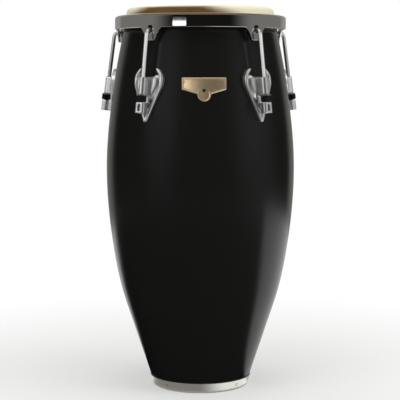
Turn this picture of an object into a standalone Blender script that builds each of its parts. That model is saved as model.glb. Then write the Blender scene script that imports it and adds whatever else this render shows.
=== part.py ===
"""A tunable conga: barrel shell, skin head, steel rim, five tuning lugs, badge and base band.

Metres, +Z up. The origin is on the drum's axis at the floor, and the front, with the badge, faces -Y.
Each lug is drawn once in its own frame, whose origin is the middle of its nut: local z runs up along the
tuning rod, local -y points away from the shell and local x runs along the shell.
"""

import math

import bmesh
import bpy
from mathutils import Matrix, Vector

# Driving dimensions of the shell
drum_height = 0.762
skin_thickness = 0.0016
fit_gap = 0.0003
shell_wall = 0.011
bearing_round = 0.006
rim_outer_radius = 0.1714
base_radius = 0.0945
lower_waist_height = 0.120
lower_waist_inside_rim = 0.0371
flank_height = 0.200
flank_inside_rim = 0.0115
low_belly_height = 0.300
low_belly_outside_rim = 0.0075
belly_height = 0.445
belly_outside_rim = 0.0180
shoulder_below_head = 0.162
shoulder_outside_rim = 0.0040
neck_below_head = 0.072
neck_inside_rim = 0.0120
head_inside_rim = 0.0282
shell_rings = 13
least_ring_share = 0.1
crown_steps = 4
crown_inner_degrees = 135

# Base: rubber foot ring under the shell's end, and the steel band round it
foot_height = 0.0055
foot_width = 0.010
foot_inset = 0.0015
band_height = 0.0195
band_thickness = 0.0015
band_clear_of_floor = 0.0010
band_screws = 4
first_band_screw_degrees = 45
band_screw_head_radius = 0.0032
band_screw_head_height = 0.0016
band_screw_shank_radius = 0.0015
band_screw_length = 0.009

# Head: the skin's collar over the shell, the hoop that the skin is tucked round
collar_depth = 0.030
hoop_wire_radius = 0.0043
tuck_thickness = 0.0013
tuck_drop = 0.0320
tuck_mouth_degrees = 52
tuck_mouth_turn_degrees = 205
tuck_inside_rim = 0.0016
tuck_steps = 7

# Rim
rim_thickness = 0.0030
rim_height = 0.0265
rim_below_head = 0.0156
rim_top_round = 0.0065
lip_slope = 0.0012
lip_chamfer = 0.0020
ear_top_half_width = 0.0235
ear_waist_half_width = 0.0145
ear_foot_half_width = 0.0112
ear_foot_corner = 0.0045
ear_height = 0.0245
ear_waist_above_foot = 0.0110
ear_shoulder = 0.0030
ear_root = 0.0045
ear_inset = 0.0002
ear_slot_half_width = 0.0052
ear_slot_corner = 0.0018
hook_seat_gap = 0.0008

# Tuning lugs: hook, nut and washer
lug_count = 5
lug_below_head = 0.1770
rod_outside_shell = 0.0225
rod_outside_rim = 0.00964
rod_radius = 0.00397
rod_tail = 0.0225
rod_facets = 10
hook_bend_radius = 0.0108
hook_bend_steps = 7
hook_tip = 0.0080
nut_across_flats = 0.0175
nut_height = 0.0110
nut_chamfer = 0.0012
bore_clearance = 0.0007
washer_radius = 0.0100
washer_thickness = 0.0012

# Side plates, with heights from the middle of the nut
plate_tip = -0.0416
plate_tip_half_width = 0.0030
plate_flank = 0.0289
plate_flank_half_width = 0.0318
plate_widest = 0.0370
plate_half_width = 0.0324
horn_tip = 0.0602
horn_outer_half_width = 0.0208
horn_inner_half_width = 0.0166
shoulder_roundness = 2.5
notch_floor = 0.0440
notch_half_width = 0.0205
notch_corner = 0.0055
shield_thickness = 0.0042
shield_edge_drop = 0.0012
lobe_out_share = 0.56
lobe_width_share = 0.36
lobe_centre_up = 0.0255
lobe_half_length = 0.0240
lobe_rise = 0.0085
receiver_length = 0.0341
receiver_wall = 0.0022
receiver_foot_half_width = 0.0105
guide_length = 0.0205
guide_half_width = 0.0110
guide_front = 0.0032
guide_below_nut = 0.0012
guide_corner = 0.0022
casting_chamfer = 0.0012

# Bolts that hold each side plate, and the steel strap under their heads
upper_bolt_up = 0.0250
lower_bolt_up = -0.0160
bolt_shank_radius = 0.0030
bolt_into_plate = 0.0085
bolt_end_clearance = 0.0010
bolt_head_across_flats = 0.0110
bolt_head_height = 0.0042
bolt_facets = 8
strap_half_width = 0.0100
strap_half_length = 0.0310
strap_thickness = 0.0025

# Badge and the air hole behind it
badge_below_head = 0.1369
badge_half_width = 0.0420
badge_side_length = 0.0224
badge_taper_length = 0.0082
badge_neck_half_width = 0.0141
medallion_radius = 0.0127
medallion_below_badge_top = 0.0317
badge_thickness = 0.0014
badge_pin_out = 0.0370
badge_pin_below_top = 0.0075
badge_pin_head_radius = 0.0016
badge_pin_head_height = 0.0008
badge_pin_shank_radius = 0.0007
badge_pin_length = 0.0070
air_hole_radius = 0.0030
air_hole_below_badge_top = 0.0243

# How far a cutting shape passes the face that it cuts, and the step that slopes are taken over
cut_past = 0.010
slope_step = 0.001

# Facets of the round pieces, even in number from lug to lug so that each lug meets the same facets
shell_facets_per_lug = 10
head_facets_per_lug = 8
wire_facets = 8
nut_cone_facets = 18
washer_facets = 14
rod_bore_facets = 12
pin_facets = 10
pin_hole_facets = 8
air_hole_facets = 10

# Steps of the arcs, and the rows and columns of the shield's face
roll_outside_steps = 4
roll_inside_steps = 2
receiver_arch_steps = 8
cradle_steps = 6
medallion_steps = 10
shield_rows = 12
shield_columns = 12

# Edges sharper than this stay sharp in the shading, on round pieces and on small hardware
round_smooth_degrees = 32
hardware_smooth_degrees = 20

# Worked out from the above
shell_facets = shell_facets_per_lug * lug_count
head_facets = head_facets_per_lug * lug_count
lower_waist_radius = rim_outer_radius - lower_waist_inside_rim
flank_radius = rim_outer_radius - flank_inside_rim
low_belly_radius = rim_outer_radius + low_belly_outside_rim
belly_radius = rim_outer_radius + belly_outside_rim
shoulder_radius = rim_outer_radius + shoulder_outside_rim
neck_radius = rim_outer_radius - neck_inside_rim
head_radius = rim_outer_radius - head_inside_rim
shell_top = drum_height - skin_thickness - fit_gap
shell_foot = foot_height + fit_gap
rim_top = drum_height - rim_below_head
rim_foot = rim_top - rim_height
lug_height = drum_height - lug_below_head
badge_top = drum_height - badge_below_head
bolt_heights = (upper_bolt_up, lower_bolt_up)
bore_radius = rod_radius + bore_clearance
receiver_foot = nut_height / 2 + washer_thickness + 2 * fit_gap
receiver_top = receiver_foot + receiver_length
guide_top = -(nut_height / 2 + guide_below_nut)
guide_foot = guide_top - guide_length


def lay_out_stations():
    """Heights and radii that the shell's outer line passes through, from the floor up."""
    return (
        (0.0, base_radius),
        (lower_waist_height, lower_waist_radius),
        (flank_height, flank_radius),
        (low_belly_height, low_belly_radius),
        (belly_height, belly_radius),
        (drum_height - shoulder_below_head, shoulder_radius),
        (drum_height - neck_below_head, neck_radius),
        (drum_height, head_radius),
    )


def station_slopes(stations):
    """Slope of the outer line at each station: that of a parabola through it and its neighbours."""
    lengths = [high[0] - low[0] for low, high in zip(stations, stations[1:])]
    rises = [(high[1] - low[1]) / (high[0] - low[0]) for low, high in zip(stations, stations[1:])]
    slopes = [rises[0]]
    for i in range(1, len(rises)):
        below, above = lengths[i - 1], lengths[i]
        slopes.append((above * rises[i - 1] + below * rises[i]) / (below + above))
    slopes.append(rises[-1])
    return slopes


def shell_radius(height):
    """Outer radius of the shell at this height: a smooth curve through the stations."""
    stations = lay_out_stations()
    slopes = station_slopes(stations)
    span = 0
    while span < len(stations) - 2 and height > stations[span + 1][0]:
        span += 1
    (z0, r0), (z1, r1) = stations[span], stations[span + 1]
    length = z1 - z0
    t = (height - z0) / length
    return (
        (2 * t**3 - 3 * t**2 + 1) * r0
        + (t**3 - 2 * t**2 + t) * length * slopes[span]
        + (3 * t**2 - 2 * t**3) * r1
        + (t**3 - t**2) * length * slopes[span + 1]
    )


def shell_slope(height):
    """Change of the shell's radius with height."""
    above = shell_radius(height + slope_step)
    below = shell_radius(height - slope_step)
    return (above - below) / (2 * slope_step)


def crown_arc(offset, first_degrees, last_degrees, steps):
    """Points on the rounded bearing edge, offset outwards, from one angle to another."""
    centre_height = shell_top - bearing_round
    lean = math.atan(-shell_slope(centre_height))
    touch_height = centre_height + bearing_round * math.sin(lean)
    centre_radius = flat_radius(touch_height) - bearing_round * math.cos(lean)
    points = []
    for i in range(steps + 1):
        angle = math.radians(first_degrees + (last_degrees - first_degrees) * i / steps)
        reach = bearing_round + offset
        points.append(
            (centre_radius + reach * math.cos(angle), centre_height + reach * math.sin(angle))
        )
    return points


def flat_radius(height):
    """Outer radius of the shell as modelled, which is straight between its rings of facets."""
    spacing = drum_height / shell_rings
    ring = min(max(int(height / spacing), 0), shell_rings - 1)
    low = shell_radius(ring * spacing)
    high = shell_radius((ring + 1) * spacing)
    return low + (high - low) * (height / spacing - ring)


def wall_line(low, high, offset):
    """Points up the shell's outer line between two heights, moved out by the offset.

    A ring of facets nearer to either end than a share of the spacing is left out.
    """
    rings = [drum_height * i / shell_rings for i in range(shell_rings + 1)]
    near = drum_height / shell_rings * least_ring_share
    heights = [low] + [z for z in rings if low + near < z < high - near] + [high]
    return [(flat_radius(z) + offset, z) for z in heights]


def finish_material(name, hex_colour, metallic, roughness):
    """A Principled material from an sRGB colour."""
    channels = [int(hex_colour[i : i + 2], 16) / 255 for i in (1, 3, 5)]
    linear = [c / 12.92 if c <= 0.04045 else ((c + 0.055) / 1.055) ** 2.4 for c in channels]
    material = bpy.data.materials.new(name)
    material.use_nodes = True
    shader = material.node_tree.nodes["Principled BSDF"]
    shader.inputs["Base Color"].default_value = (*linear, 1.0)
    shader.inputs["Metallic"].default_value = metallic
    shader.inputs["Roughness"].default_value = roughness
    return material


def new_object(name, data, material=None, parent=None):
    """Adds an object to the scene, with its material and parent."""
    obj = bpy.data.objects.new(name, data)
    bpy.context.scene.collection.objects.link(obj)
    if material is not None:
        data.materials.clear()
        data.materials.append(material)
    obj.parent = parent
    return obj


def mesh_from(name, bm, smooth_degrees=round_smooth_degrees):
    """Turns a bmesh into mesh data with outward faces and smooth shading."""
    bmesh.ops.recalc_face_normals(bm, faces=bm.faces)
    mesh = bpy.data.meshes.new(name)
    bm.to_mesh(mesh)
    bm.free()
    mesh.shade_smooth()
    mesh.set_sharp_from_angle(angle=math.radians(smooth_degrees))
    return mesh


def turned_mesh(name, outline, facets):
    """Spins a closed outline of (radius, height) points round the Z axis."""
    bm = bmesh.new()
    points = [bm.verts.new((radius, 0.0, height)) for radius, height in outline]
    edges = []
    for a, b in zip(points, points[1:] + points[:1]):
        if a.co.x > 1e-9 or b.co.x > 1e-9:
            edges.append(bm.edges.new((a, b)))
    bmesh.ops.spin(
        bm,
        geom=points + edges,
        cent=(0, 0, 0),
        axis=(0, 0, 1),
        dvec=(0, 0, 0),
        angle=math.tau,
        steps=facets,
        use_merge=True,
    )
    bmesh.ops.remove_doubles(bm, verts=bm.verts, dist=1e-7)
    return mesh_from(name, bm)


def prism_mesh(name, outline, depth_axis, near, far, bevel=0.0):
    """Extrudes a flat outline. With depth_axis 'y' it lies in x and z, and with 'z' in x and y."""
    bm = bmesh.new()
    if depth_axis == "y":
        corners = [bm.verts.new((a, near, b)) for a, b in outline]
        push = Vector((0, far - near, 0))
    else:
        corners = [bm.verts.new((a, b, near)) for a, b in outline]
        push = Vector((0, 0, far - near))
    face = bm.faces.new(corners)
    made = bmesh.ops.extrude_face_region(bm, geom=[face])
    moved = [item for item in made["geom"] if isinstance(item, bmesh.types.BMVert)]
    bmesh.ops.translate(bm, verts=moved, vec=push)
    bmesh.ops.recalc_face_normals(bm, faces=bm.faces)
    if bevel:
        far_edges = [e for e in bm.edges if all(v in moved for v in e.verts)]
        bmesh.ops.bevel(
            bm, geom=far_edges, offset=bevel, segments=1, profile=0.5, affect="EDGES"
        )
    return mesh_from(name, bm)


def polygon_outline(radius, sides, turn_degrees=0.0):
    """Corners of a regular polygon."""
    start = math.radians(turn_degrees)
    return [
        (radius * math.cos(start + math.tau * i / sides), radius * math.sin(start + math.tau * i / sides))
        for i in range(sides)
    ]


def repeated_round_axis(name, mesh, count, first_degrees):
    """One mesh that holds the given mesh several times round the Z axis."""
    bm = bmesh.new()
    for i in range(count):
        before = len(bm.verts)
        bm.from_mesh(mesh)
        bm.verts.ensure_lookup_table()
        turn = Matrix.Rotation(math.radians(first_degrees + 360 * i / count), 3, "Z")
        bmesh.ops.rotate(bm, cent=(0, 0, 0), matrix=turn, verts=bm.verts[before:])
    return mesh_from(name, bm)


def helper(name, mesh, matrix=None):
    """An object that only shapes others and is never part of the drum."""
    obj = new_object(name, mesh)
    obj.hide_render = True
    obj.display_type = "WIRE"
    if matrix is not None:
        obj.matrix_world = matrix
    return obj


def combine(name, mesh, steps, smooth_degrees=round_smooth_degrees):
    """The mesh after a list of Boolean steps, each an operation and a helper object."""
    body = new_object(name + "_blank", mesh)
    for operation, other in steps:
        modifier = body.modifiers.new(other.name, "BOOLEAN")
        modifier.operation = operation
        modifier.solver = "EXACT"
        modifier.object = other
    bpy.context.view_layer.update()
    graph = bpy.context.evaluated_depsgraph_get()
    result = bpy.data.meshes.new_from_object(body.evaluated_get(graph), depsgraph=graph)
    bpy.data.objects.remove(body)
    result.name = name
    result.materials.clear()
    result.shade_smooth()
    result.set_sharp_from_angle(angle=math.radians(smooth_degrees))
    return result


def rod_line():
    """Radius of the rod's axis at the nut, and its lean towards the drum's axis on the way up."""
    at_nut = shell_radius(lug_height) + rod_outside_shell
    at_rim = rim_outer_radius + rod_outside_rim
    return at_nut, math.atan((at_nut - at_rim) / (rim_foot - lug_height))


def lug_matrix():
    """Places the lug frame on the front of the drum, before it is turned to its place."""
    radius, lean = rod_line()
    return Matrix.Translation((0, -radius, lug_height)) @ Matrix.Rotation(-lean, 4, "X")


def lug_turns():
    """Turn of each lug from the front, in degrees, with the badge midway between the first and last."""
    step = 360 / lug_count
    return [step / 2 + step * i for i in range(lug_count)]


def shell_depth():
    """Distance from the rod's axis in to the shell, along the lug frame's y."""
    return rod_outside_shell * math.cos(rod_line()[1])


def clear_scene():
    """Removes whatever the scene holds."""
    for obj in list(bpy.data.objects):
        bpy.data.objects.remove(obj)


def shell_outline():
    """Closed outline of the staved shell's wall, with its rounded bearing edge."""
    lean = math.degrees(math.atan(-shell_slope(shell_top - bearing_round)))
    outer = wall_line(shell_foot, shell_top - bearing_round, 0.0)[:-1]
    crown = crown_arc(0.0, lean, crown_inner_degrees, crown_steps)
    inner_top = crown[-1][1] - shell_wall
    inner = wall_line(shell_foot, inner_top, -shell_wall)
    return outer + crown + inner[::-1]


def cavity_outline():
    """Outline of the space inside the shell, a fit gap smaller, for what is bolted against the wall."""
    wall = wall_line(shell_foot, shell_top - bearing_round - shell_wall, -shell_wall - fit_gap)
    return [(0.0, wall[0][1])] + wall + [(0.0, wall[-1][1])]


def skin_outline():
    """Outline of the playing skin: a flat disc that turns down over the bearing edge as a collar."""
    lean = math.degrees(math.atan(-shell_slope(shell_top - bearing_round)))
    low = drum_height - collar_depth
    high = shell_top - bearing_round
    outside = wall_line(low, high, fit_gap + skin_thickness)[:-1]
    outside += crown_arc(fit_gap + skin_thickness, lean, 90.0, crown_steps)
    inside = wall_line(low, high, fit_gap)[:-1] + crown_arc(fit_gap, lean, 90.0, crown_steps)
    return outside + [(0.0, outside[-1][1])] + [(0.0, inside[-1][1])] + inside[::-1]


def tuck_reach():
    """Inner radius of the tuck's section, far enough out for its flats to clear the hoop's wire."""
    half_step = math.radians(360 - tuck_mouth_degrees) / tuck_steps / 2
    return (hoop_wire_radius + fit_gap) / math.cos(half_step)


def tuck_centre():
    """Radius and height of the middle of the flesh hoop's wire."""
    reach = tuck_reach() + tuck_thickness
    radius = rim_outer_radius - rim_thickness - tuck_inside_rim - reach
    return radius, drum_height - tuck_drop


def arc_points(centre, radius, first_degrees, last_degrees, steps):
    """Points on an arc in the plane of radius and height."""
    points = []
    for i in range(steps + 1):
        angle = math.radians(first_degrees + (last_degrees - first_degrees) * i / steps)
        points.append((centre[0] + radius * math.cos(angle), centre[1] + radius * math.sin(angle)))
    return points


def tuck_outline():
    """C-shaped section of the skin's edge, wrapped round the hoop and open towards the shell."""
    centre = tuck_centre()
    first = tuck_mouth_turn_degrees + tuck_mouth_degrees / 2
    last = tuck_mouth_turn_degrees - tuck_mouth_degrees / 2 + 360
    outside = arc_points(centre, tuck_reach() + tuck_thickness, first, last, tuck_steps)
    inside = arc_points(centre, tuck_reach(), first, last, tuck_steps)
    return outside + inside[::-1]


def rim_outline():
    """Section of the steel rim: an upright band, a rolled top, and a lip that bears on the hoop."""
    centre = tuck_centre()
    outer = rim_outer_radius
    inner = outer - rim_thickness
    roll = (outer - rim_top_round, rim_top - rim_top_round)
    under = rim_top_round - rim_thickness
    lip_top = rim_top - lip_slope
    lip_edge = centre[0] - hoop_wire_radius
    lip_root = centre[0]
    lip_under = centre[1] + tuck_reach() + tuck_thickness + fit_gap
    outside = [(outer, rim_foot)] + arc_points(roll, rim_top_round, 0, 90, roll_outside_steps)
    lip = [
        (lip_edge + lip_chamfer, lip_top),
        (lip_edge, lip_top - lip_chamfer),
        (lip_edge, lip_under),
        (lip_root, lip_under),
    ]
    inside = arc_points(roll, under, 90, 0, roll_inside_steps)
    return outside + lip + [(lip_root, inside[0][1])] + inside + [(inner, rim_foot)]


def ear_outline():
    """One ear seen from outside: wide where it leaves the band, narrow and rounded at the foot."""
    foot = rim_foot - ear_height
    half = [
        (ear_foot_half_width - ear_foot_corner, foot),
        (ear_foot_half_width, foot + ear_foot_corner),
        (ear_waist_half_width, foot + ear_waist_above_foot),
        (ear_top_half_width - ear_shoulder, rim_foot - ear_shoulder),
        (ear_top_half_width, rim_foot),
        (ear_top_half_width, rim_foot + ear_root),
    ]
    return half + [(-x, z) for x, z in reversed(half)]


def slot_foot():
    """Height of the slot's lower edge, which bears on the underside of the hook's bend."""
    lowest = rim_foot
    for point in bend_points(hook_bend_radius - rod_radius, 8 * hook_bend_steps):
        place = lug_matrix() @ point
        if rim_outer_radius - rim_thickness <= -place.y <= rim_outer_radius:
            lowest = min(lowest, place.z)
    return lowest - hook_seat_gap


def slot_outline():
    """The opening in an ear that the tuning hook passes through."""
    top = rim_foot + 2 * fit_gap
    foot = slot_foot()
    half = [
        (ear_slot_half_width - ear_slot_corner, foot),
        (ear_slot_half_width, foot + ear_slot_corner),
        (ear_slot_half_width, top - ear_slot_corner),
        (ear_slot_half_width - ear_slot_corner, top),
    ]
    return half + [(-x, z) for x, z in reversed(half)]


def make_rim(material):
    """The rim and its five ears, welded into one piece."""
    near = -(rim_outer_radius + cut_past)
    far = -(rim_outer_radius - 2 * cut_past)
    ear = prism_mesh("ear_outline", ear_outline(), "y", near, far)
    slot = prism_mesh("slot_outline", slot_outline(), "y", near, far)
    first = lug_turns()[0]
    ears = helper("ear_blocks", repeated_round_axis("ear_blocks", ear, lug_count, first))
    slots = helper("ear_slots", repeated_round_axis("ear_slots", slot, lug_count, first))
    low = rim_foot - ear_height - cut_past
    high = rim_foot + ear_root
    wall = [
        (rim_outer_radius - ear_inset, low),
        (rim_outer_radius - ear_inset, high),
        (rim_outer_radius - rim_thickness + ear_inset, high),
        (rim_outer_radius - rim_thickness + ear_inset, low),
    ]
    skirt = turned_mesh("ear_skirt", wall, head_facets)
    tabs = helper("ear_tabs", combine("ear_tabs", skirt, [("INTERSECT", ears)]))
    blank = turned_mesh("rim_blank", rim_outline(), head_facets)
    return new_object("rim", combine("rim", blank, [("UNION", tabs), ("DIFFERENCE", slots)]), material)


def bend_points(radius, steps):
    """Points on an arc about the middle of the hook's bend, in the lug frame, from the rod to the tip."""
    crown_top = rim_foot - fit_gap
    middle = Vector((0, hook_bend_radius, 0))
    reach = hook_bend_radius + rod_radius
    bend_up = (crown_top - reach - (lug_matrix() @ middle).z) / math.cos(rod_line()[1])
    middle.z = bend_up
    points = []
    for i in range(steps + 1):
        angle = math.pi * i / steps
        points.append(middle + Vector((0, -radius * math.cos(angle), radius * math.sin(angle))))
    return points


def hook_path():
    """Centre line of a tuning hook: straight rod, round bend over the ear, and short tip."""
    bend = bend_points(hook_bend_radius, hook_bend_steps)
    return [Vector((0, 0, -rod_tail))] + bend + [bend[-1] - Vector((0, 0, hook_tip))]


def hook_curve():
    """The hook as a round bar along its path."""
    curve = bpy.data.curves.new("tuning_hook", "CURVE")
    curve.dimensions = "3D"
    curve.bevel_depth = rod_radius
    curve.bevel_resolution = (rod_facets - 4) // 2
    curve.use_fill_caps = True
    path = hook_path()
    spline = curve.splines.new("POLY")
    spline.points.add(len(path) - 1)
    for point, place in zip(spline.points, path):
        point.co = (*place, 1.0)
    spline.use_smooth = True
    return curve


def nut_mesh():
    """Chamfered hexagon nut with a plain bore."""
    corner = nut_across_flats / math.sqrt(3)
    half = nut_height / 2
    hexagon = prism_mesh("nut_hexagon", polygon_outline(corner, 6), "z", -half, half)
    reach = corner + fit_gap
    barrel = [
        (0.0, -half - cut_past),
        (nut_across_flats / 2 - nut_chamfer, -half - cut_past),
        (nut_across_flats / 2 - nut_chamfer, -half),
        (reach, -half + nut_chamfer),
        (reach, half - nut_chamfer),
        (nut_across_flats / 2 - nut_chamfer, half),
        (nut_across_flats / 2 - nut_chamfer, half + cut_past),
        (0.0, half + cut_past),
    ]
    cone = helper("nut_cone", turned_mesh("nut_cone", barrel, nut_cone_facets))
    bore_outline = polygon_outline(bore_radius, rod_bore_facets)
    bore = helper("nut_bore", prism_mesh("nut_bore", bore_outline, "z", -half - cut_past, half + cut_past))
    steps = [("INTERSECT", cone), ("DIFFERENCE", bore)]
    return combine("tuning_nut", hexagon, steps, hardware_smooth_degrees)


def washer_mesh():
    """Flat steel washer between the nut and the receiver."""
    low = nut_height / 2 + fit_gap
    high = low + washer_thickness
    inner = bore_radius + bore_clearance
    outline = [(washer_radius, low), (washer_radius, high), (inner, high), (inner, low)]
    return turned_mesh("nut_washer", outline, washer_facets)


def shield_half_width(up):
    """Half of the side plate's width at this height: straight flanks to a point, and round shoulders."""
    if up <= plate_flank:
        share = (up - plate_tip) / (plate_flank - plate_tip)
        return plate_tip_half_width + (plate_flank_half_width - plate_tip_half_width) * share
    if up <= plate_widest:
        share = (up - plate_flank) / (plate_widest - plate_flank)
        return plate_flank_half_width + (plate_half_width - plate_flank_half_width) * share
    share = (up - plate_widest) / (horn_tip - plate_widest)
    return plate_half_width - (plate_half_width - horn_outer_half_width) * share**shoulder_roundness


def shield_front(out, up):
    """How far the side plate's face stands from the rod's axis, as a y value in the lug frame."""
    face = shell_depth() - shield_thickness + shield_edge_drop * (out / plate_half_width) ** 2
    half = shield_half_width(min(up, plate_flank))
    across = (abs(out) - half * lobe_out_share) / (half * lobe_width_share)
    along = (up - lobe_centre_up) / lobe_half_length
    inside = 1 - across**2 - along**2
    if inside > 0:
        face -= lobe_rise * math.sqrt(inside)
    return face


def shield_mesh():
    """The heart-shaped shield with its two domed lobes, solid back to the drum's inside."""
    back = shell_depth() + cut_past
    bm = bmesh.new()
    front = []
    for j in range(shield_rows + 1):
        up = plate_tip + (horn_tip - plate_tip) * j / shield_rows
        half = shield_half_width(up)
        line = []
        for i in range(shield_columns + 1):
            out = half * (2 * i / shield_columns - 1)
            line.append(bm.verts.new((out, shield_front(out, up), up)))
        front.append(line)
    for low, high in zip(front, front[1:]):
        for i in range(shield_columns):
            bm.faces.new((low[i], low[i + 1], high[i + 1], high[i]))
    border = front[0] + [line[-1] for line in front[1:-1]] + front[-1][::-1]
    border += [line[0] for line in reversed(front[1:-1])]
    rear = [bm.verts.new((v.co.x, back, v.co.z)) for v in border]
    count = len(border)
    for i in range(count):
        bm.faces.new((border[i], rear[i], rear[(i + 1) % count], border[(i + 1) % count]))
    bm.faces.new(rear)
    return mesh_from("shield", bm)


def receiver_outline():
    """Section of the receiver that the rod runs through, flared where it meets the shield."""
    foot = shell_depth()
    waist = foot - receiver_foot_half_width
    arch = arc_points((0, 0), bore_radius + receiver_wall, 180, 360, receiver_arch_steps)
    left = [(-receiver_foot_half_width, foot), (-bore_radius - receiver_wall, waist)]
    return left + arch + [(-x, y) for x, y in reversed(left)]


def guide_outline():
    """Section of the fork below the nut, which guides the rod's end between two cheeks."""
    inner_corner = guide_corner / 2
    half = [
        (bore_radius, 0.0),
        (bore_radius, -guide_front + inner_corner),
        (bore_radius + inner_corner, -guide_front),
        (guide_half_width - guide_corner, -guide_front),
        (guide_half_width, -guide_front + guide_corner),
        (guide_half_width, shell_depth()),
    ]
    cradle = arc_points((0, 0), bore_radius, 180, 0, cradle_steps)[1:-1]
    return [(-x, y) for x, y in reversed(half)] + cradle + half


def notch_outline():
    """The space between the plate's two horns."""
    middle = (notch_floor + horn_tip) / 2
    half = [
        (notch_half_width - notch_corner, notch_floor),
        (notch_half_width, notch_floor + notch_corner),
        ((notch_half_width + horn_inner_half_width) / 2, middle + notch_corner / 2),
        (horn_inner_half_width, horn_tip),
        (horn_inner_half_width, horn_tip + cut_past),
    ]
    return half + [(-x, z) for x, z in reversed(half)]


def plate_mesh():
    """The side plate: one casting, cut to the shell's curve and drilled for the rod and two bolts."""
    low = lug_height + 2 * plate_tip
    high = lug_height + 2 * horn_tip
    seat_outline = [(0.0, low)] + wall_line(low, high, fit_gap) + [(0.0, high)]
    seat = helper(
        "plate_seat", turned_mesh("plate_seat", seat_outline, shell_facets), lug_matrix().inverted()
    )
    receiver = helper(
        "receiver_block",
        prism_mesh(
            "receiver_block", receiver_outline(), "z", receiver_foot, receiver_top, casting_chamfer
        ),
    )
    guide = helper(
        "guide_block",
        prism_mesh("guide_block", guide_outline(), "z", guide_top, guide_foot, casting_chamfer),
    )
    bore_outline = polygon_outline(bore_radius, rod_bore_facets)
    bore = helper(
        "rod_bore", prism_mesh("rod_bore", bore_outline, "z", guide_foot - cut_past, horn_tip + cut_past)
    )
    notch_far = shell_depth() + 2 * cut_past
    notch = helper("horn_notch", prism_mesh("horn_notch", notch_outline(), "y", -cut_past, notch_far))
    steps = [
        ("DIFFERENCE", notch),
        ("UNION", receiver),
        ("UNION", guide),
        ("DIFFERENCE", bore),
        ("DIFFERENCE", seat),
    ]
    for height in bolt_heights:
        steps.append(("DIFFERENCE", bolt_hole("plate", height, shell_depth() - bolt_into_plate)))
    return combine("side_plate", shield_mesh(), steps)


def bolt_hole(name, height, near):
    """A cutter for one bolt's clearance hole, in the lug frame."""
    hole = polygon_outline(bolt_shank_radius + bore_clearance, bolt_facets)
    outline = [(x, height + z) for x, z in hole]
    label = f"{name}_bolt_hole_{round(height * 1000)}"
    return helper(label, prism_mesh(label, outline, "y", near, strap_face() + 2 * cut_past))


def strap_face():
    """Where the strap's inner face lies, as a y value in the lug frame."""
    wall = shell_wall * math.cos(rod_line()[1])
    return shell_depth() + wall + fit_gap + strap_thickness


def strap_mesh():
    """The steel strap inside the shell, curved to the wall, which spreads the bolts' load."""
    half = [(strap_half_width, -strap_half_length), (strap_half_width, strap_half_length)]
    middle = sum(bolt_heights) / 2
    outline = [(x, z + middle) for x, z in half] + [(-x, z + middle) for x, z in reversed(half)]
    blank = prism_mesh("strap_blank", outline, "y", shell_depth(), strap_face())
    cavity = helper(
        "shell_cavity", turned_mesh("shell_cavity", cavity_outline(), shell_facets), lug_matrix().inverted()
    )
    steps = [("INTERSECT", cavity)]
    for height in bolt_heights:
        steps.append(("DIFFERENCE", bolt_hole("strap", height, shell_depth())))
    return combine("backing_strap", blank, steps)


def bolt_mesh():
    """Hexagon-headed bolt along -y, with the underside of its head at the origin."""
    corner = bolt_head_across_flats / math.sqrt(3)
    length = strap_face() + fit_gap - shell_depth() + bolt_into_plate - bolt_end_clearance
    head = prism_mesh("bolt_head", polygon_outline(corner, 6), "y", 0.0, bolt_head_height)
    shank_outline = polygon_outline(bolt_shank_radius, bolt_facets)
    shank_blank = prism_mesh("bolt_shank", shank_outline, "y", -length, bolt_head_height / 2)
    shank = helper("bolt_shank", shank_blank)
    return combine("plate_bolt", head, [("UNION", shank)], hardware_smooth_degrees)


def badge_outline():
    """The badge seen from the front: a wide bar, tapered below, with a round medallion under it."""
    shoulder = badge_top - badge_side_length
    half = [
        (badge_half_width, badge_top),
        (badge_half_width, shoulder),
        (badge_neck_half_width, shoulder - badge_taper_length),
    ]
    centre = (0, badge_top - medallion_below_badge_top)
    medallion = arc_points(centre, medallion_radius, 0, -180, medallion_steps)
    return half + medallion + [(-x, z) for x, z in reversed(half)]


def badge_parts(metal, dark):
    """The badge, bent to the shell, and the two pins that hold it."""
    reach = belly_radius + cut_past
    block = prism_mesh("badge_block", badge_outline(), "y", -reach, -head_radius + 2 * cut_past)
    low = badge_top - medallion_below_badge_top - 2 * medallion_radius
    high = badge_top + medallion_radius
    outside = wall_line(low, high, fit_gap + badge_thickness)
    inside = wall_line(low, high, fit_gap)
    sheet = turned_mesh("badge_sheet", outside + inside[::-1], shell_facets)
    shape = helper("badge_block", block)
    hole_height = badge_top - air_hole_below_badge_top
    round_hole = polygon_outline(air_hole_radius, air_hole_facets)
    hole_outline = [(x, hole_height + z) for x, z in round_hole]
    hole = helper("badge_hole", prism_mesh("badge_hole", hole_outline, "y", -reach, 0.0))
    pins = [helper(f"badge_pin_hole_{side}", *pin_hole(side)) for side in (-1, 1)]
    steps = [("INTERSECT", shape), ("DIFFERENCE", hole)] + [("DIFFERENCE", pin) for pin in pins]
    new_object("badge", combine("badge", sheet, steps), metal)
    pin = headed_pin_mesh(
        "badge_pin", badge_pin_head_radius, badge_pin_head_height, badge_pin_shank_radius, badge_pin_length
    )
    for side, name in ((-1, "badge_pin_left"), (1, "badge_pin_right")):
        obj = new_object(name, pin.copy(), dark)
        obj.matrix_world = pin_matrix(side, fit_gap * 2 + badge_thickness)
    return pins, hole


def pin_matrix(side, lift):
    """Frame of a badge pin: -y is square to the shell, and the origin is lifted off it."""
    height = badge_top - badge_pin_below_top
    radius = shell_radius(height)
    turn = math.asin(badge_pin_out / radius) * side
    tilt = math.atan(-shell_slope(height))
    place = Matrix.Rotation(turn, 4, "Z") @ Matrix.Translation((0, -radius, height))
    return place @ Matrix.Rotation(-tilt, 4, "X") @ Matrix.Translation((0, -lift, 0))


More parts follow.
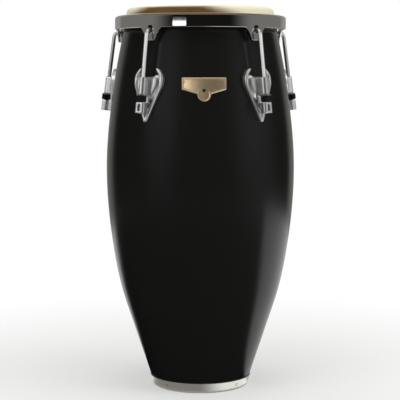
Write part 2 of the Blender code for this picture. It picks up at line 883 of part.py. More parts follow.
def pin_hole(side):
    """Mesh and place of the clearance hole for one badge pin."""
    outline = polygon_outline(badge_pin_shank_radius + fit_gap, pin_hole_facets)
    mesh = prism_mesh(f"pin_hole_{side}", outline, "y", -cut_past, badge_pin_length + fit_gap)
    return mesh, pin_matrix(side, 0.0)


def headed_pin_mesh(name, cap_radius, cap_height, shank_radius, length):
    """A pin or small screw: low domed head on -y, shank along +y, head's underside at the origin."""
    outline = [
        (0.0, length),
        (shank_radius, length),
        (shank_radius, 0.0),
        (cap_radius, 0.0),
        (cap_radius * math.cos(math.pi / 4), -cap_height * math.sin(math.pi / 4)),
        (0.0, -cap_height),
    ]
    mesh = turned_mesh(name, outline, pin_facets)
    mesh.transform(Matrix.Rotation(-math.pi / 2, 4, "X"))
    return mesh


def band_outline():
    """Section of the steel band round the shell's foot."""
    low = band_clear_of_floor
    high = low + band_height
    outside = wall_line(low, high, fit_gap + band_thickness)
    inside = wall_line(low, high, fit_gap)
    return outside + inside[::-1]


def screw_matrix(turn_degrees, lift):
    """Frame of a band screw: -y is square to the band, and the origin is lifted off the shell."""
    height = band_clear_of_floor + band_height / 2
    radius = shell_radius(height)
    tilt = math.atan(-shell_slope(height))
    place = Matrix.Rotation(math.radians(turn_degrees), 4, "Z") @ Matrix.Translation((0, -radius, height))
    return place @ Matrix.Rotation(-tilt, 4, "X") @ Matrix.Translation((0, -lift, 0))


def band_screw_turns():
    """Turn of each band screw from the front, in degrees."""
    return [first_band_screw_degrees + 360 * i / band_screws for i in range(band_screws)]


def make_band(steel):
    """The band, drilled for its screws, and the screws."""
    outline = polygon_outline(band_screw_shank_radius + fit_gap, pin_hole_facets)
    holes = []
    for i, turn in enumerate(band_screw_turns()):
        mesh = prism_mesh(f"band_hole_{i}", outline, "y", -cut_past, band_screw_length + fit_gap)
        holes.append(helper(f"band_hole_{i}", mesh, screw_matrix(turn, 0.0)))
    blank = turned_mesh("band_blank", band_outline(), shell_facets)
    new_object("base_band", combine("base_band", blank, [("DIFFERENCE", h) for h in holes]), steel)
    screw = headed_pin_mesh(
        "band_screw",
        band_screw_head_radius,
        band_screw_head_height,
        band_screw_shank_radius,
        band_screw_length,
    )
    for i, turn in enumerate(band_screw_turns()):
        obj = new_object(f"band_screw_{i + 1}", screw.copy(), steel)
        obj.matrix_world = screw_matrix(turn, 2 * fit_gap + band_thickness)
    return holes


def make_shell(material, holes):
    """The staved shell, drilled for the plate bolts, badge pins, band screws and air hole."""
    blank = turned_mesh("shell_blank", shell_outline(), shell_facets)
    drills = []
    for height in bolt_heights:
        cutter = bolt_hole("shell", height, shell_depth() - cut_past)
        mesh = cutter.data.copy()
        mesh.transform(lug_matrix())
        name = f"shell_bolt_holes_{round(height * 1000)}"
        drills.append(helper(name, repeated_round_axis(name, mesh, lug_count, lug_turns()[0])))
        bpy.data.objects.remove(cutter)
    steps = [("DIFFERENCE", drill) for drill in drills + holes]
    return new_object("shell", combine("shell", blank, steps), material)


def make_lugs(chrome, steel, black):
    """Five tuning lugs: plate, hook, nut, washer, strap and two bolts each."""
    plate = plate_mesh()
    hook = hook_curve()
    nut = nut_mesh()
    washer = washer_mesh()
    strap = strap_mesh()
    bolt = bolt_mesh()
    for number, turn in enumerate(lug_turns(), start=1):
        frame = bpy.data.objects.new(f"lug_{number}_frame", None)
        bpy.context.scene.collection.objects.link(frame)
        frame.matrix_world = Matrix.Rotation(math.radians(turn), 4, "Z") @ lug_matrix()
        new_object(f"side_plate_{number}", plate.copy(), chrome, frame)
        new_object(f"tuning_hook_{number}", hook.copy(), chrome, frame)
        new_object(f"tuning_nut_{number}", nut.copy(), black, frame)
        new_object(f"nut_washer_{number}", washer.copy(), steel, frame)
        new_object(f"backing_strap_{number}", strap.copy(), steel, frame)
        for place, height in zip(("upper", "lower"), bolt_heights):
            obj = new_object(f"plate_bolt_{number}_{place}", bolt.copy(), steel, frame)
            obj.location = (0, strap_face() + fit_gap, height)


def build_drum():
    """Puts the whole drum together."""
    clear_scene()
    lacquer = finish_material("black_gloss_lacquer", "#161616", 0.0, 0.12)
    skin = finish_material("natural_rawhide", "#E4C789", 0.0, 0.55)
    chrome = finish_material("chromed_steel", "#D8DADC", 1.0, 0.08)
    steel = finish_material("plain_steel", "#A9ABAD", 1.0, 0.35)
    black = finish_material("black_oxide_steel", "#0E0E0F", 1.0, 0.35)
    rubber = finish_material("black_rubber", "#1A1A1A", 0.0, 0.75)
    brass = finish_material("champagne_brass", "#D9C19A", 1.0, 0.30)
    pins, air_hole = badge_parts(brass, steel)
    screw_holes = make_band(steel)
    make_shell(lacquer, pins + [air_hole] + screw_holes)
    new_object("drumhead_skin", turned_mesh("drumhead_skin", skin_outline(), shell_facets), skin)
    new_object("skin_tuck", turned_mesh("skin_tuck", tuck_outline(), head_facets), skin)
    wire = arc_points(tuck_centre(), hoop_wire_radius, 0, 360, wire_facets)[:-1]
    new_object("flesh_hoop", turned_mesh("flesh_hoop", wire, head_facets), steel)
    make_rim(chrome)
    foot_outer = shell_radius(shell_foot) - foot_inset
    foot_inner = foot_outer - foot_width
    foot = [(foot_outer, 0), (foot_outer, foot_height), (foot_inner, foot_height), (foot_inner, 0)]
    new_object("foot_ring", turned_mesh("foot_ring", foot, shell_facets), rubber)
    make_lugs(chrome, steel, black)


build_drum()
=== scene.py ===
import math

import bmesh
import bpy
from mathutils import Matrix, Vector


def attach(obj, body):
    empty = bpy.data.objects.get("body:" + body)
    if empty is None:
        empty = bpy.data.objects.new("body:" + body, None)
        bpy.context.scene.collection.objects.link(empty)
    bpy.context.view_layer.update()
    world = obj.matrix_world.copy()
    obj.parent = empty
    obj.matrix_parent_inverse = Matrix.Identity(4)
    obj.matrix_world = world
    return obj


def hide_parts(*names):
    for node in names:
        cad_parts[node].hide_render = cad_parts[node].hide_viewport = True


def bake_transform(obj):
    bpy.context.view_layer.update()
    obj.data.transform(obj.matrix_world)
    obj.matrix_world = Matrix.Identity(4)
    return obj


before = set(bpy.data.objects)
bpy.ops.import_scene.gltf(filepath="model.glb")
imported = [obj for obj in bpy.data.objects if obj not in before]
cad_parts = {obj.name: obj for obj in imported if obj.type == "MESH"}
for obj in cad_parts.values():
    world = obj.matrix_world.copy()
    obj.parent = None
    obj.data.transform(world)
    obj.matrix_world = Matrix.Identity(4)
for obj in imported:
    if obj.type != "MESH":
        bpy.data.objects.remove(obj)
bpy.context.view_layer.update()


# Camera and studio
#
# A long lens stands a little below the head and looks slightly down, as in the photograph, with the drum
# turned a couple of degrees. The studio is a white floor and backdrop with soft lamps. Dark and grey
# panels round the camera's side keep a black drum black, and give the chrome something to mirror.
camera_distance = 2.5295
camera_height = 0.6315
camera_pitch_degrees = 5.7524
drum_turn_degrees = 2.35
camera_aim_left_degrees = 0.014
lens_mm = 112.47
sensor_mm = 36.0

pure_white = "#FFFFFF"
floor_half = 6.0
floor_white = "#F7F7F5"
floor_lit_radius = 0.30
floor_fade = 0.80
floor_glow_share = 0.35
diffuse_sky = 0.50

panel_radius = 1.9
panel_height = 2.6
panel_step_degrees = 6
panel_dark = "#1E1C1A"
panel_grey = "#8C8A86"
panel_dark_half_angle_degrees = 34
panel_grey_from_degrees = 70
panel_end_degrees = 131
side_end_degrees = 163
side_grey = "#A5A39E"
paper_inner_radius = 0.100
paper_degrees = (-98, 118)
paper_turn_degrees = -38
paper_strength = 1.6
panel_foot = 0.01
paper_lift = 0.001
card_distance = 1.75
rim_card_degrees = (-37, -20)
rim_card_heights = (0.778, 0.7965)
rim_card_strength = 3.1
badge_card_degrees = (-37, -17)
badge_card_heights = (0.84, 1.30)
badge_card_strength = 4.2
roof_warm = "#89765E"


def linear(hex_colour):
    """An sRGB hex colour as the linear colour that a socket takes."""
    channels = [int(hex_colour[i : i + 2], 16) / 255 for i in (1, 3, 5)]
    return (*[c / 12.92 if c <= 0.04045 else ((c + 0.055) / 1.055) ** 2.4 for c in channels], 1.0)


def add_node(tree, kind, inputs=(), **settings):
    """Adds a node. An input takes a value, a socket, or a node in place of its first output in use."""
    node = tree.nodes.new(f"ShaderNode{kind}")
    for name, value in settings.items():
        setattr(node, name, value)
    for name, value in dict(inputs).items():
        if isinstance(value, bpy.types.Node):
            value = next(socket for socket in value.outputs if socket.enabled)
        if isinstance(value, bpy.types.NodeSocket):
            tree.links.new(value, node.inputs[name])
        else:
            node.inputs[name].default_value = value
    return node


def empty_tree(name):
    """A new material, its emptied node tree, and the socket that gives a point's place on its piece."""
    material = bpy.data.materials.new(name)
    material.use_nodes = True
    tree = material.node_tree
    tree.nodes.clear()
    return material, tree, add_node(tree, "TexCoord").outputs["Object"]


def seen_directly(tree):
    """One for rays from the lens, a mirror or glass, and nought for the light that a surface gathers."""
    path = add_node(tree, "LightPath")
    seen = path.outputs["Is Camera Ray"]
    for ray in ("Is Glossy Ray", "Is Transmission Ray"):
        seen = add_node(tree, "Math", {0: seen, 1: path.outputs[ray]}, operation="MAXIMUM")
    return seen


def sheet(bm, lines):
    """Adds faces between lines of vertices, and returns the vertices round the border."""
    for low, high in zip(lines, lines[1:]):
        for i in range(len(low) - 1):
            bm.faces.new((low[i], low[i + 1], high[i + 1], high[i]))
    right = [line[-1] for line in lines[1:-1]]
    left = [line[0] for line in lines[-2:0:-1]]
    return lines[0] + right + lines[-1][::-1] + left


def new_piece(name, bm, material=None, smooth_degrees=35):
    """An object from a bmesh, with its faces turned outwards and its round faces shaded smooth."""
    bmesh.ops.recalc_face_normals(bm, faces=bm.faces)
    mesh = bpy.data.meshes.new(name)
    bm.to_mesh(mesh)
    bm.free()
    mesh.shade_smooth()
    mesh.set_sharp_from_angle(angle=math.radians(smooth_degrees))
    if material:
        mesh.materials.append(material)
    obj = bpy.data.objects.new(name, mesh)
    bpy.context.scene.collection.objects.link(obj)
    return obj


camera_data = bpy.data.cameras.new("camera")
camera_data.lens = lens_mm
camera_data.sensor_width = sensor_mm
camera = bpy.data.objects.new("camera", camera_data)
bpy.context.scene.collection.objects.link(camera)
turn = math.radians(drum_turn_degrees)
camera.location = (-camera_distance * math.sin(turn), -camera_distance * math.cos(turn), camera_height)
camera.rotation_euler = (
    math.radians(90 - camera_pitch_degrees),
    0.0,
    math.radians(camera_aim_left_degrees) - turn,
)
bpy.context.scene.camera = camera
bpy.context.scene.view_settings.view_transform = "Standard"

# The backdrop is the world: white to the lens and to mirrors, and softer as light on the drum
world = bpy.data.worlds.new("white_backdrop")
bpy.context.scene.world = world
world.use_nodes = True
tree = world.node_tree
tree.nodes.clear()
strength = add_node(
    tree, "MapRange", {"Value": seen_directly(tree), "To Min": diffuse_sky, "To Max": 1.0}
)
backdrop = add_node(tree, "Background", {"Color": linear(pure_white), "Strength": strength})
add_node(tree, "OutputWorld", {"Surface": backdrop})

# The floor is matt white paper that holds the drum's shadow, and runs out into the white backdrop
material, tree, place = empty_tree("matt_white_paper")
paper = add_node(tree, "BsdfDiffuse", {"Color": linear(floor_white)})
glow = add_node(tree, "Emission", {"Color": linear(pure_white), "Strength": 1.0})
distance = add_node(tree, "VectorMath", {"Vector": place}, operation="LENGTH")
far = add_node(
    tree, "MapRange",
    {
        "Value": distance,
        "From Min": floor_lit_radius,
        "From Max": floor_lit_radius + floor_fade,
        "To Min": floor_glow_share,
    },
    interpolation_type="SMOOTHSTEP",
)
white = add_node(tree, "Math", {0: far, 1: seen_directly(tree)}, operation="MULTIPLY")
mixed = add_node(tree, "MixShader", {0: white, 1: paper, 2: glow})
add_node(tree, "OutputMaterial", {"Surface": mixed})
bm = bmesh.new()
bmesh.ops.create_grid(bm, x_segments=1, y_segments=1, size=floor_half)
floor = new_piece("floor", bm, material)


def studio_card(name, bm, dark, light, strength=1.0):
    """A card that only mirrors and gloss see. Its glow runs from dark in front to light at the sides."""
    material, tree, place = empty_tree(name)
    xyz = add_node(tree, "SeparateXYZ", {"Vector": place})
    toward = add_node(tree, "Math", {0: xyz.outputs["Y"], 1: -1.0}, operation="MULTIPLY")
    angle = add_node(tree, "Math", {0: xyz.outputs["X"], 1: toward}, operation="ARCTAN2")
    size = add_node(tree, "Math", {0: angle}, operation="ABSOLUTE")
    share = add_node(
        tree, "MapRange",
        {
            "Value": size,
            "From Min": math.radians(panel_dark_half_angle_degrees),
            "From Max": math.radians(panel_grey_from_degrees),
        },
        interpolation_type="SMOOTHSTEP",
    )
    # A Mix node takes its two colours at inputs 6 and 7
    colour = add_node(
        tree, "Mix", {"Factor": share, 6: linear(dark), 7: linear(light)}, data_type="RGBA"
    )
    glow = add_node(tree, "Emission", {"Color": colour, "Strength": strength})
    add_node(tree, "OutputMaterial", {"Surface": glow})
    card = new_piece(name, bm, material)
    card.visible_camera = False
    card.visible_diffuse = False
    card.visible_shadow = False
    card.visible_transmission = False
    return card


def bent_strip(degrees, low, high):
    """A bmesh of a strip bent round the drum between two turns, from one radius and height to another."""
    bm = bmesh.new()
    steps = max(round(abs(degrees[1] - degrees[0]) / panel_step_degrees), 1)
    columns = []
    for i in range(steps + 1):
        angle = math.radians(degrees[0] + (degrees[1] - degrees[0]) * i / steps)
        out = Vector((math.sin(angle), -math.cos(angle)))
        columns.append([bm.verts.new((*(out * radius), height)) for radius, height in (low, high)])
    sheet(bm, columns)
    return bm


def upright_strip(degrees, radius, low, high):
    """A bmesh of an upright strip round the drum."""
    return bent_strip(degrees, (radius, low), (radius, high))


def wall_panel(name, degrees, dark, light):
    """A panel of the room's full height, round the drum between two turns."""
    return studio_card(name, upright_strip(degrees, panel_radius, panel_foot, panel_height), dark, light)


# Panels, dark behind the camera and grey at the sides, and the floor's paper in front, as metal mirrors
# it. The lacquer in the photograph mirrors neither, so the last section keeps both off it. Two small
# cards stand left of the camera: the low one gives the rim its white patch, and the high one lights the
# badge's left end. The roof is the room's warm ceiling, which the rim's rolled top mirrors.
panels = wall_panel("studio_panels", (-panel_end_degrees, panel_end_degrees), panel_dark, panel_grey)
wall_panel("left_panel", (-panel_end_degrees, -side_end_degrees), side_grey, side_grey)
wall_panel("right_panel", (panel_end_degrees, side_end_degrees), side_grey, side_grey)
paper_strip = bent_strip(paper_degrees, (paper_inner_radius, paper_lift), (panel_radius, paper_lift))
front_paper = studio_card("front_paper", paper_strip, panel_grey, pure_white, paper_strength)
front_paper.rotation_euler.z = math.radians(paper_turn_degrees)
rim_strip = upright_strip(rim_card_degrees, card_distance, *rim_card_heights)
rim_card = studio_card("low_white_card", rim_strip, pure_white, pure_white, rim_card_strength)
badge_strip = upright_strip(badge_card_degrees, card_distance, *badge_card_heights)
badge_card = studio_card("high_white_card", badge_strip, pure_white, pure_white, badge_card_strength)
bm = bmesh.new()
bmesh.ops.create_circle(bm, cap_ends=True, segments=48, radius=panel_radius)
roof = studio_card("warm_roof", bm, roof_warm, roof_warm)
roof.location = (0.0, 0.0, panel_height)


def soft_lamp(name, place, aim_height, size, watts):
    """A rectangular softbox aimed at a point on the drum's axis."""
    data = bpy.data.lights.new(name, "AREA")
    data.shape = "RECTANGLE"
    data.size, data.size_y = size
    data.energy = watts
    lamp = bpy.data.objects.new(name, data)
    bpy.context.scene.collection.objects.link(lamp)
    lamp.location = place
    aim = Vector((0.0, 0.0, aim_height)) - Vector(place)
    lamp.rotation_euler = aim.to_track_quat("-Z", "Y").to_euler()
    return lamp


softboxes = [
    soft_lamp("overhead_softbox", (0.0, -0.3, 2.6), aim_height=0.40, size=(2.4, 2.4), watts=26.0),
    soft_lamp("left_softbox", (-2.0, -1.6, 1.2), aim_height=0.45, size=(0.9, 1.4), watts=12.0),
    soft_lamp("right_softbox", (2.1, -0.9, 1.0), aim_height=0.40, size=(1.2, 1.8), watts=18.0),
]


# Shell
#
# Eighteen bent hardwood staves, glued edge to edge, turned round and sprayed with black lacquer outside.
# The inside is left as sawn and sealed, so its seams and grain show there. The top edge is rounded over
# for the skin, and the foot is cut square.
drum_height = 0.762
fit_gap = 0.0003
skin_thickness = 0.0016
shell_foot = 0.0058
shell_top = drum_height - skin_thickness - fit_gap
shell_wall = 0.011
bearing_round = 0.006
bearing_inner_degrees = 135
shell_stations = (
    (0.0, 0.0945),
    (0.120, 0.1343),
    (0.200, 0.1599),
    (0.300, 0.1789),
    (0.445, 0.1894),
    (0.600, 0.1754),
    (0.690, 0.1594),
    (drum_height, 0.1432),
)
belly_radius = max(radius for _, radius in shell_stations)
shell_facets = 240
shell_rows = 96
slope_step = 0.001
air_hole_radius = 0.0030
air_hole_height = 0.6008
front_cut_start = -0.25
front_cut_end = -0.12

lacquer_black = "#171716"
bare_wood_pale = "#B98F5E"
bare_wood_dark = "#7E5A35"
stave_seam_brown = "#3A2614"
stave_count = 18
stave_seam_mm = 0.8
grain_mm = 2.2
grain_squeeze = 0.06
orange_peel_mm = 2.6
lacquer_haze_mm = 111.1


def station_slopes(stations):
    """Slope of the outer line at each station: that of a parabola through it and its neighbours."""
    lengths = [high[0] - low[0] for low, high in zip(stations, stations[1:])]
    rises = [(high[1] - low[1]) / (high[0] - low[0]) for low, high in zip(stations, stations[1:])]
    slopes = [rises[0]]
    for i in range(1, len(rises)):
        below, above = lengths[i - 1], lengths[i]
        slopes.append((above * rises[i - 1] + below * rises[i]) / (below + above))
    slopes.append(rises[-1])
    return slopes


shell_slopes = station_slopes(shell_stations)


def shell_radius(height):
    """Outer radius of the shell at this height: a smooth curve through the stations."""
    span = 0
    while span < len(shell_stations) - 2 and height > shell_stations[span + 1][0]:
        span += 1
    (z0, r0), (z1, r1) = shell_stations[span], shell_stations[span + 1]
    length = z1 - z0
    t = (height - z0) / length
    return (
        (2 * t**3 - 3 * t**2 + 1) * r0
        + (t**3 - 2 * t**2 + t) * length * shell_slopes[span]
        + (3 * t**2 - 2 * t**3) * r1
        + (t**3 - t**2) * length * shell_slopes[span + 1]
    )


def shell_slope(height):
    """Change of the shell's radius with height."""
    above = shell_radius(height + slope_step)
    below = shell_radius(height - slope_step)
    return (above - below) / (2 * slope_step)


def wall_line(low, high, offset, rows):
    """Points up the shell's outer line between two heights, moved out by the offset."""
    heights = [low + (high - low) * i / rows for i in range(rows + 1)]
    return [(shell_radius(z) + offset, z) for z in heights]


def arc_points(centre, radius, first_degrees, last_degrees, steps):
    """Points on an arc, from one angle to another."""
    points = []
    for i in range(steps + 1):
        angle = math.radians(first_degrees + (last_degrees - first_degrees) * i / steps)
        points.append((centre[0] + radius * math.cos(angle), centre[1] + radius * math.sin(angle)))
    return points


def bearing_arc(offset, last_degrees, steps):
    """The rounded bearing edge, moved out by the offset, from where it touches the wall."""
    height = shell_top - bearing_round
    lean = math.atan(-shell_slope(height))
    touch = height + bearing_round * math.sin(lean)
    centre = (shell_radius(touch) - bearing_round * math.cos(lean), height)
    return arc_points(centre, bearing_round + offset, math.degrees(lean), last_degrees, steps)


def turned(outline, facets):
    """A bmesh of a closed outline of radius and height, turned round the drum's axis."""
    bm = bmesh.new()
    angles = [math.tau * i / facets for i in range(facets)]
    rings = []
    for radius, height in outline:
        if radius < 1e-6:
            rings.append([bm.verts.new((0.0, 0.0, height))])
        else:
            ring = [(radius * math.cos(a), radius * math.sin(a), height) for a in angles]
            rings.append([bm.verts.new(point) for point in ring])
    for low, high in zip(rings, rings[1:] + rings[:1]):
        for i in range(facets):
            j = (i + 1) % facets
            corners = [low[i % len(low)], low[j % len(low)], high[j % len(high)], high[i % len(high)]]
            corners = list(dict.fromkeys(corners))
            if len(corners) > 2:
                bm.faces.new(corners)
    return bm


def circle_outline(radius, facets, centre=(0.0, 0.0)):
    """A closed outline round a circle."""
    return arc_points(centre, radius, 0, 360 - 360 / facets, facets - 1)


def lofted(rings, closed=False):
    """A bmesh skinned over rings of points, its ends capped, or joined where it closes on itself."""
    bm = bmesh.new()
    rings = [[bm.verts.new(point) for point in ring] for ring in rings]
    if closed:
        rings.append(rings[0])
    else:
        bm.faces.new(rings[0])
        bm.faces.new(rings[-1])
    for low, high in zip(rings, rings[1:]):
        sheet(bm, [low + low[:1], high + high[:1]])
    return bm


def extruded(outline, near, far):
    """A bmesh of an outline of x and z, extruded along y."""
    return lofted([[(x, y, z) for x, z in outline] for y in (near, far)])


def cutter(name, bm, matrix=Matrix()):
    """An object that only shapes others."""
    obj = new_piece(name, bm)
    obj.matrix_world = matrix
    return obj


def carved(obj, steps, smooth_degrees=35):
    """Applies Boolean steps, each an operation and a cutter, and removes the cutters."""
    for operation, other in steps:
        modifier = obj.modifiers.new(other.name, "BOOLEAN")
        modifier.operation = operation
        modifier.object = other
        modifier.solver = "MANIFOLD"
    bpy.context.view_layer.update()
    graph = bpy.context.evaluated_depsgraph_get()
    mesh = bpy.data.meshes.new_from_object(obj.evaluated_get(graph), depsgraph=graph)
    obj.modifiers.clear()
    obj.data = mesh
    mesh.shade_smooth()
    mesh.set_sharp_from_angle(angle=math.radians(smooth_degrees))
    for other in {other for _, other in steps}:
        bpy.data.objects.remove(other)


# Sprayed gloss lacquer over a smooth filler: almost black, with a faint orange peel, and a soft shine
# that changes a little in wide patches
black_lacquer, tree, place = empty_tree("black_gloss_lacquer")
peel = add_node(tree, "TexNoise", {"Vector": place, "Scale": 1000 / orange_peel_mm, "Detail": 1.0})
peel_bump = add_node(tree, "Bump", {"Height": peel, "Strength": 0.05, "Distance": 0.0002})
haze = add_node(tree, "TexNoise", {"Vector": place, "Scale": 1000 / lacquer_haze_mm, "Detail": 3.0})
haze_roughness = add_node(tree, "MapRange", {"Value": haze, "To Min": 0.20, "To Max": 0.27})
lacquer = add_node(
    tree, "BsdfPrincipled",
    {
        "Base Color": linear(lacquer_black),
        "Roughness": haze_roughness,
        "IOR": 1.48,
        "Normal": peel_bump,
    },
)
add_node(tree, "OutputMaterial", {"Surface": lacquer})

# Sealed bare hardwood: each stave has its own tone, long grain, and a dark glue line at its edges, drawn
# wider than a real one so that it shows
bare_staves, tree, place = empty_tree("sealed_bare_staves")
xyz = add_node(tree, "SeparateXYZ", {"Vector": place})
angle = add_node(tree, "Math", {0: xyz.outputs["Y"], 1: xyz.outputs["X"]}, operation="ARCTAN2")
turns = add_node(tree, "Math", {0: angle, 1: stave_count / math.tau}, operation="MULTIPLY")
number = add_node(tree, "Math", {0: turns}, operation="FLOOR")
across = add_node(tree, "Math", {0: turns}, operation="FRACT")
tone = add_node(tree, "TexWhiteNoise", {"W": number}, noise_dimensions="1D")
along_stave = add_node(tree, "Mapping", {"Vector": place, "Scale": (1.0, 1.0, grain_squeeze)})
grain = add_node(tree, "TexNoise", {"Vector": along_stave, "Scale": 1000 / grain_mm, "Detail": 4.0})
share = add_node(tree, "Math", {0: tone, 1: 0.45, 2: grain}, operation="MULTIPLY_ADD")
wood_colour = add_node(
    tree, "Mix",
    {"Factor": share, 6: linear(bare_wood_dark), 7: linear(bare_wood_pale)},
    data_type="RGBA",
)
from_edge = add_node(tree, "Math", {0: across, 1: 0.5}, operation="PINGPONG")
stave_width_mm = 1000 * math.tau * belly_radius / stave_count
seam = add_node(
    tree, "Math", {0: from_edge, 1: stave_seam_mm / stave_width_mm / 2}, operation="LESS_THAN"
)
seamed = add_node(
    tree, "Mix", {"Factor": seam, 6: wood_colour, 7: linear(stave_seam_brown)}, data_type="RGBA"
)
grain_bump = add_node(tree, "Bump", {"Height": grain, "Strength": 0.25, "Distance": 0.0004})
wood = add_node(
    tree, "BsdfPrincipled", {"Base Color": seamed, "Roughness": 0.62, "IOR": 1.5, "Normal": grain_bump}
)
add_node(tree, "OutputMaterial", {"Surface": wood})

outer = wall_line(shell_foot, shell_top - bearing_round, 0.0, shell_rows)[:-1]
crown = bearing_arc(0.0, bearing_inner_degrees, 10)
inner = wall_line(shell_foot, crown[-1][1] - shell_wall, -shell_wall, shell_rows)
shell = new_piece("staved_shell", turned(outer + crown + inner[::-1], shell_facets), black_lacquer)
drill_line = circle_outline(air_hole_radius, 24, (0.0, air_hole_height))
air_hole = cutter("air_hole_drill", extruded(drill_line, front_cut_start, front_cut_end))
carved(shell, [("DIFFERENCE", air_hole)])
shell.data.materials.append(bare_staves)
for face in shell.data.polygons:
    middle = face.center
    reach = math.hypot(middle.x, middle.y)
    if reach < shell_radius(min(middle.z, drum_height)) - shell_wall / 3:
        face.material_index = 1
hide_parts("shell")
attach(shell, "drum")


# Foot ring
#
# A moulded rubber ring pressed on the shell's square end. It keeps the drum off the floor, dulls knocks
# and stops the drum from walking. Matt black, with soft moulded edges.
foot_height = 0.0055
foot_inset = 0.0015
foot_width = 0.010
foot_edge_round = 0.0012

rubber_black = "#1B1B1B"
rubber_grit_mm = 0.7


def rectangle(left, right, low, high):
    """Corners of an upright rectangle, from its lower right one."""
    return [(right, low), (right, high), (left, high), (left, low)]


def rounded_corners(corners, radius, steps):
    """A closed outline with each corner rounded by an arc."""
    points = []
    count = len(corners)
    for i in range(count):
        here = Vector(corners[i])
        back = (Vector(corners[i - 1]) - here).normalized()
        ahead = (Vector(corners[(i + 1) % count]) - here).normalized()
        half = back.angle(ahead) / 2
        middle = here + (back + ahead).normalized() * (radius / math.sin(half))
        first = here + back * (radius / math.tan(half)) - middle
        last = here + ahead * (radius / math.tan(half)) - middle
        for j in range(steps + 1):
            points.append(tuple(middle + first.slerp(last, j / steps).normalized() * radius))
    return points


# Moulded rubber: dull near-black with a fine grit in its skin, drawn coarser than real so that it shows
black_rubber, tree, place = empty_tree("moulded_black_rubber")
grit = add_node(tree, "TexNoise", {"Vector": place, "Scale": 1000 / rubber_grit_mm, "Detail": 2.0})
grit_bump = add_node(tree, "Bump", {"Height": grit, "Strength": 0.3, "Distance": 0.0002})
rubber = add_node(
    tree, "BsdfPrincipled",
    {"Base Color": linear(rubber_black), "Roughness": 0.78, "IOR": 1.5, "Normal": grit_bump},
)
add_node(tree, "OutputMaterial", {"Surface": rubber})

foot_outer = shell_radius(shell_foot) - foot_inset
foot_corners = rectangle(foot_outer - foot_width, foot_outer, 0.0, foot_height)
foot_outline = rounded_corners(foot_corners, foot_edge_round, 4)
foot_ring = new_piece("rubber_foot_ring", turned(foot_outline, facets=160), black_rubber)
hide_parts("foot_ring")
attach(foot_ring, "drum")


# Base band
#
# A strip of stainless steel, rolled to the shell's taper, closed round its foot and brushed round the
# drum, so that its highlight is drawn out along the band. Four domed screws hold it to the staves.
band_foot = 0.0010
band_height = 0.0195
band_thickness = 0.0015
band_bead = 0.0006
band_screws = 4
band_first_screw_degrees = 45
band_screw_radius = 0.0030
band_screw_height = 0.0009
band_screw_recess = 0.0002
screw_edge_share = 0.15
screw_recess_shares = (0.38, 0.30)

band_steel_grey = "#B4B4AE"
brush_line_mm = 0.35
brush_squeeze = 0.02


def brushed_metal(name, hex_colour, low_roughness, high_roughness, line_mm, line_depth):
    """Metal brushed round the drum's axis: fine lines that run level, from noise drawn out sideways."""
    material, tree, place = empty_tree(name)
    level = add_node(tree, "Mapping", {"Vector": place, "Scale": (brush_squeeze, brush_squeeze, 1.0)})
    lines = add_node(tree, "TexNoise", {"Vector": level, "Scale": 1000 / line_mm, "Detail": 2.0})
    roughness = add_node(
        tree, "MapRange", {"Value": lines, "To Min": low_roughness, "To Max": high_roughness}
    )
    bump = add_node(tree, "Bump", {"Height": lines, "Strength": line_depth, "Distance": 0.0002})
    metal = add_node(
        tree, "BsdfPrincipled",
        {"Base Color": linear(hex_colour), "Metallic": 1.0, "Roughness": roughness, "Normal": bump},
    )
    add_node(tree, "OutputMaterial", {"Surface": metal})
    return material


# Brushed stainless steel: a mid grey with a wide, soft, level streak of light. Real brush lines are about
# a tenth of a millimetre apart, too fine to show, so they are drawn coarser
brushed_steel = brushed_metal("brushed_stainless_steel", band_steel_grey, 0.24, 0.40, brush_line_mm, 0.25)

band_top = band_foot + band_height
outside = wall_line(band_foot + band_bead, band_top - band_bead, fit_gap + band_thickness, 12)
inside = wall_line(band_foot, band_top, fit_gap, 12)
foot_bead = [(inside[0][0] + band_thickness - band_bead, band_foot)]
top_bead = [(inside[-1][0] + band_thickness - band_bead, band_top)]
band_outline = foot_bead + outside + top_bead + inside[::-1]
band = new_piece("brushed_base_band", turned(band_outline, shell_facets), brushed_steel)
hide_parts("base_band")
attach(band, "drum")


def screw_head(name, radius, height, recess, material):
    """A domed head on +z with a flat recess ring, turned in its own frame."""
    rises = [math.radians(degrees) for degrees in range(20, 80, 10)]
    dome = [(radius * math.cos(rise), height * math.sin(rise)) for rise in rises]
    edge = [(0.0, 0.0), (radius, 0.0), (radius, height * screw_edge_share)]
    mouth, bottom = [radius * share for share in screw_recess_shares]
    socket = [(mouth, height), (bottom, height - recess), (0.0, height - recess)]
    return new_piece(name, turned(edge + dome + socket, facets=28), material)


def on_shell(turn, height, lift):
    """Where a small piece sits on the shell, with +z out of its face, at a turn from the front."""
    tilt = Matrix.Rotation(math.pi / 2 - math.atan(-shell_slope(height)), 4, "X")
    face = Matrix.Translation((0, -shell_radius(height), height)) @ tilt
    return Matrix.Rotation(turn, 4, "Z") @ face @ Matrix.Translation((0, 0, lift))


for i in range(band_screws):
    turn = math.radians(band_first_screw_degrees + 360 * i / band_screws)
    name = f"domed_band_screw_{i + 1}"
    screw = screw_head(name, band_screw_radius, band_screw_height, band_screw_recess, brushed_steel)
    screw.matrix_world = on_shell(turn, band_foot + band_height / 2, 2 * fit_gap + band_thickness)
    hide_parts(f"band_screw_{i + 1}")
    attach(screw, "drum")


